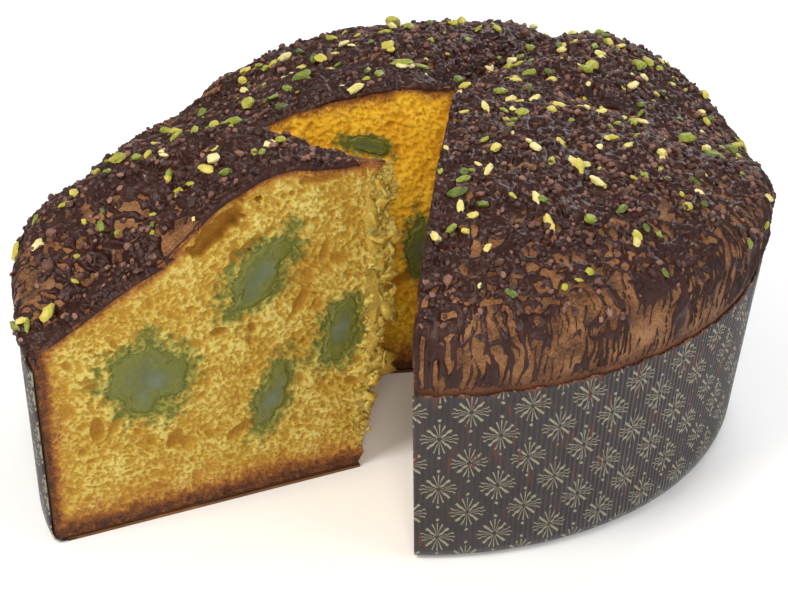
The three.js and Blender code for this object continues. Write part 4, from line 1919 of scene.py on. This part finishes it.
FRONT_FRUIT = (
    Fruit("fruit_front_1", 69, 48.5, (13, 9, 12.5), 0),
    Fruit("fruit_front_2", 34, 75, (15, 8, 7.5), 46),
    Fruit("fruit_front_3", 9.5, 50, (7.5, 5, 11.5), -20),
    Fruit("fruit_front_4", 31.5, 33, (5.5, 6, 13), -21),
)
WEDGE_BARE = ((57.0, -2.5, 6.5), (-4.0, -1.0, 9.0))
BACK_FRUIT = (
    Fruit("fruit_back_1", 52, 38, (11, 8, 9), 20),
    Fruit("fruit_back_2", 80, 60, (9, 7, 7), -30),
)
LEFT_FRUIT = (
    Fruit("fruit_left_1", 28.5, 84.5, (8, 6, 3.6), -20),
    Fruit("fruit_left_2", 11, 47, (5, 7, 12), 0),
)
RIGHT_FRUIT = (
    Fruit("fruit_right_1", 62, 58, (12, 8, 8), 25),
    Fruit("fruit_right_2", 26, 32, (8, 7, 9), 0),
)


@dataclass
class Loaf:
    """The loaf: bread, cut faces, fruit, glaze, sprinkles and paper."""

    glaze: Glaze = field(
        default_factory=lambda: Glaze(
            "loaf_chocolate", LOAF_DOME, LOAF_PLACE, node="loaf_glaze", sheets=4, seed=11
        )
    )

    def faces(self) -> list[CutFace]:
        """The two faces of the notch."""
        left = CutFace(
            "loaf_crumb_left", LOAF_DOME, LOAF_PLACE, angle=LOAF_DOME.last, inward=-1.0,
            start=-SLAB_DEPTH, step=0.48, seed=301, node="loaf", fruit=LEFT_FRUIT, is_painted_brighter=True,
        )
        right = CutFace(
            "loaf_crumb_right", LOAF_DOME, LOAF_PLACE, angle=LOAF_DOME.first, inward=1.0,
            start=0.0, step=0.8, seed=302, node="loaf", fruit=RIGHT_FRUIT,
        )
        return [left, right]

    def build(self, pantry: Pantry) -> None:
        """Builds every piece of the loaf.

        Args:
            pantry: the finishes.
        """
        BreadBody("loaf_bread", LOAF_DOME, LOAF_PLACE, "loaf").build(pantry)
        for face in self.faces():
            face.build(pantry)
            for fruit in face.fruit:
                FruitPiece(fruit, face, "candied_" + fruit.name).build(pantry)
        self.glaze.build(pantry)
        PaperBand("loaf_band", LOAF_DOME, LOAF_PLACE, "loaf_paper_band").build(pantry)
        nuts = tuple(sorted(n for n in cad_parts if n.startswith("pistachio_")))
        Sprinkles("loaf", self.glaze, nibs=3300, nuts=300, seed=41, nodes=nuts).build(pantry)
        dress_disc("loaf_paper_base", pantry)


@dataclass
class Wedge:
    """The cut wedge: bread, cut faces, fruit, glaze, sprinkles and paper."""

    glaze: Glaze = field(
        default_factory=lambda: Glaze(
            "slice_chocolate", WEDGE_DOME, WEDGE_PLACE, node="slice_glaze", sheets=1, seed=23,
            step=0.42, bare=WEDGE_BARE,
        )
    )

    def faces(self) -> list[CutFace]:
        """The wedge's front and back cut faces."""
        cavities = (
            Cavity(46, 91.5, 11.5, 3.2, -38, 5.6),
            Cavity(38, 84, 7, 1.5, -40, 1.6),
            Cavity(15, 101, 6.5, 1.2, 5, 2.4),
            Cavity(60, 25, 3.4, 1.7, 20, 1.5),
            Cavity(43, 24, 5.5, 1.8, -25, 1.4),
            Cavity(22, 63, 7.0, 2.0, -55, 1.4),
            Cavity(80, 36, 5.5, 1.6, -60, 1.2),
            Cavity(86, 50, 2.6, 1.6, 0, 1.2),
            Cavity(14, 78, 4.5, 1.6, -70, 1.3),
        )
        front = CutFace(
            "slice_crumb_front", WEDGE_DOME, WEDGE_PLACE, angle=WEDGE_DOME.last, inward=-1.0,
            start=-6.0, step=0.37, seed=303, node="slice", is_tip=True, fruit=FRONT_FRUIT, cavities=cavities,
        )
        back = CutFace(
            "slice_crumb_back", WEDGE_DOME, WEDGE_PLACE, angle=WEDGE_DOME.first, inward=1.0,
            start=-4.0, step=0.7, seed=304, node="slice", is_tip=True, apex=(0.0, -2.0), fruit=BACK_FRUIT,
        )
        return [front, back]

    def build(self, pantry: Pantry) -> None:
        """Builds every piece of the wedge.

        Args:
            pantry: the finishes.
        """
        BreadBody("slice_bread", WEDGE_DOME, WEDGE_PLACE, "slice").build(pantry)
        for face in self.faces():
            face.build(pantry)
            for fruit in face.fruit:
                FruitPiece(fruit, face, "candied_" + fruit.name).build(pantry)
        TornCrumb("slice_torn_crumb", self.faces()[0], "slice").build(pantry)
        self.glaze.build(pantry)
        PaperBand("slice_band", WEDGE_DOME, WEDGE_PLACE, "slice_paper_band").build(pantry)
        nuts = tuple(sorted(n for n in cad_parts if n.startswith("slice_pistachio_")))
        Sprinkles("slice", self.glaze, nibs=520, nuts=40, seed=43, nodes=nuts).build(pantry)
        dress_disc("slice_paper_base", pantry)


def dress_disc(node: str, pantry: Pantry) -> None:
    """Gives a paper disc of the CAD model its baked finish."""
    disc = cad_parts[node]
    disc.data.materials.clear()
    disc.data.materials.append(pantry.disc)


# ---------------------------------------------------------------- stage


@dataclass(frozen=True)
class Stage:
    """The table, the studio light and the camera, all placed from the loaf's axis."""

    camera_offset: tuple[float, float, float] = (-9.0, -542.4, 335.1)
    pitch: float = 29.3
    lens: float = 86.8

    def floor(self) -> None:
        """A plain pale table."""
        bm = bmesh.new()
        bmesh.ops.create_grid(bm, x_segments=4, y_segments=4, size=3.0)
        mesh = bpy.data.meshes.new("table")
        bm.to_mesh(mesh)
        bm.free()
        table = bpy.data.objects.new("table", mesh)
        bpy.context.scene.collection.objects.link(table)
        mesh.materials.append(FloorFinish().build())

    def light(
        self, name: str, offset: tuple[float, float, float], size: float, power: float, colour: str = "FFFFFF"
    ) -> None:
        """A soft square light that points at the loaf.

        Args:
            name: the light's name.
            offset: its place from the loaf's axis, in millimetres.
            size: its side in millimetres.
            power: its power in watts.
            colour: its hex colour.
        """
        data = bpy.data.lights.new(name, "AREA")
        data.size = size * MM
        data.energy = power
        data.color = linear(colour)[:3]
        lamp = bpy.data.objects.new(name, data)
        bpy.context.scene.collection.objects.link(lamp)
        where = Vector(((LOAF_PLACE.x + offset[0]) * MM, (LOAF_PLACE.y + offset[1]) * MM, offset[2] * MM))
        lamp.location = where
        aim = Vector((LOAF_PLACE.x * MM, LOAF_PLACE.y * MM, 0.05)) - where
        lamp.rotation_euler = aim.to_track_quat("-Z", "Y").to_euler()

    def camera(self) -> None:
        """A long lens, level, looking down on the loaf."""
        data = bpy.data.cameras.new("camera")
        data.lens = self.lens
        data.sensor_width = 36.0
        data.clip_start = 0.01
        camera = bpy.data.objects.new("camera", data)
        bpy.context.scene.collection.objects.link(camera)
        x, y, z = self.camera_offset
        camera.location = ((LOAF_PLACE.x + x) * MM, (LOAF_PLACE.y + y) * MM, z * MM)
        camera.rotation_euler = (math.radians(90.0 - self.pitch), 0.0, 0.0)
        bpy.context.scene.camera = camera

    def build(self) -> None:
        """Sets the stage."""
        self.floor()
        self.camera()
        self.light("key", (-520.0, -420.0, 700.0), 420.0, 5.6, "FFFAF2")
        self.light("front", (20.0, -900.0, 560.0), 260.0, 4.0, "FFFAF4")
        self.light("back", (300.0, 620.0, 620.0), 500.0, 4.6)
        self.light("fill", (700.0, -350.0, 420.0), 600.0, 1.8, "F4F8FF")
        world = bpy.data.worlds.new("studio")
        bpy.context.scene.world = world
        world.use_nodes = True
        world.node_tree.nodes["Background"].inputs["Color"].default_value = (1.0, 1.0, 1.0, 1.0)
        world.node_tree.nodes["Background"].inputs["Strength"].default_value = 0.44
        bpy.context.scene.view_settings.view_transform = "Standard"


def main() -> None:
    """Builds the panettone and its stage."""
    logging.basicConfig(level=logging.INFO, format="%(name)s: %(message)s")
    Stage().build()
    pantry = Pantry()
    Loaf().build(pantry)
    Wedge().build(pantry)


if __name__ == "__main__":
    main()
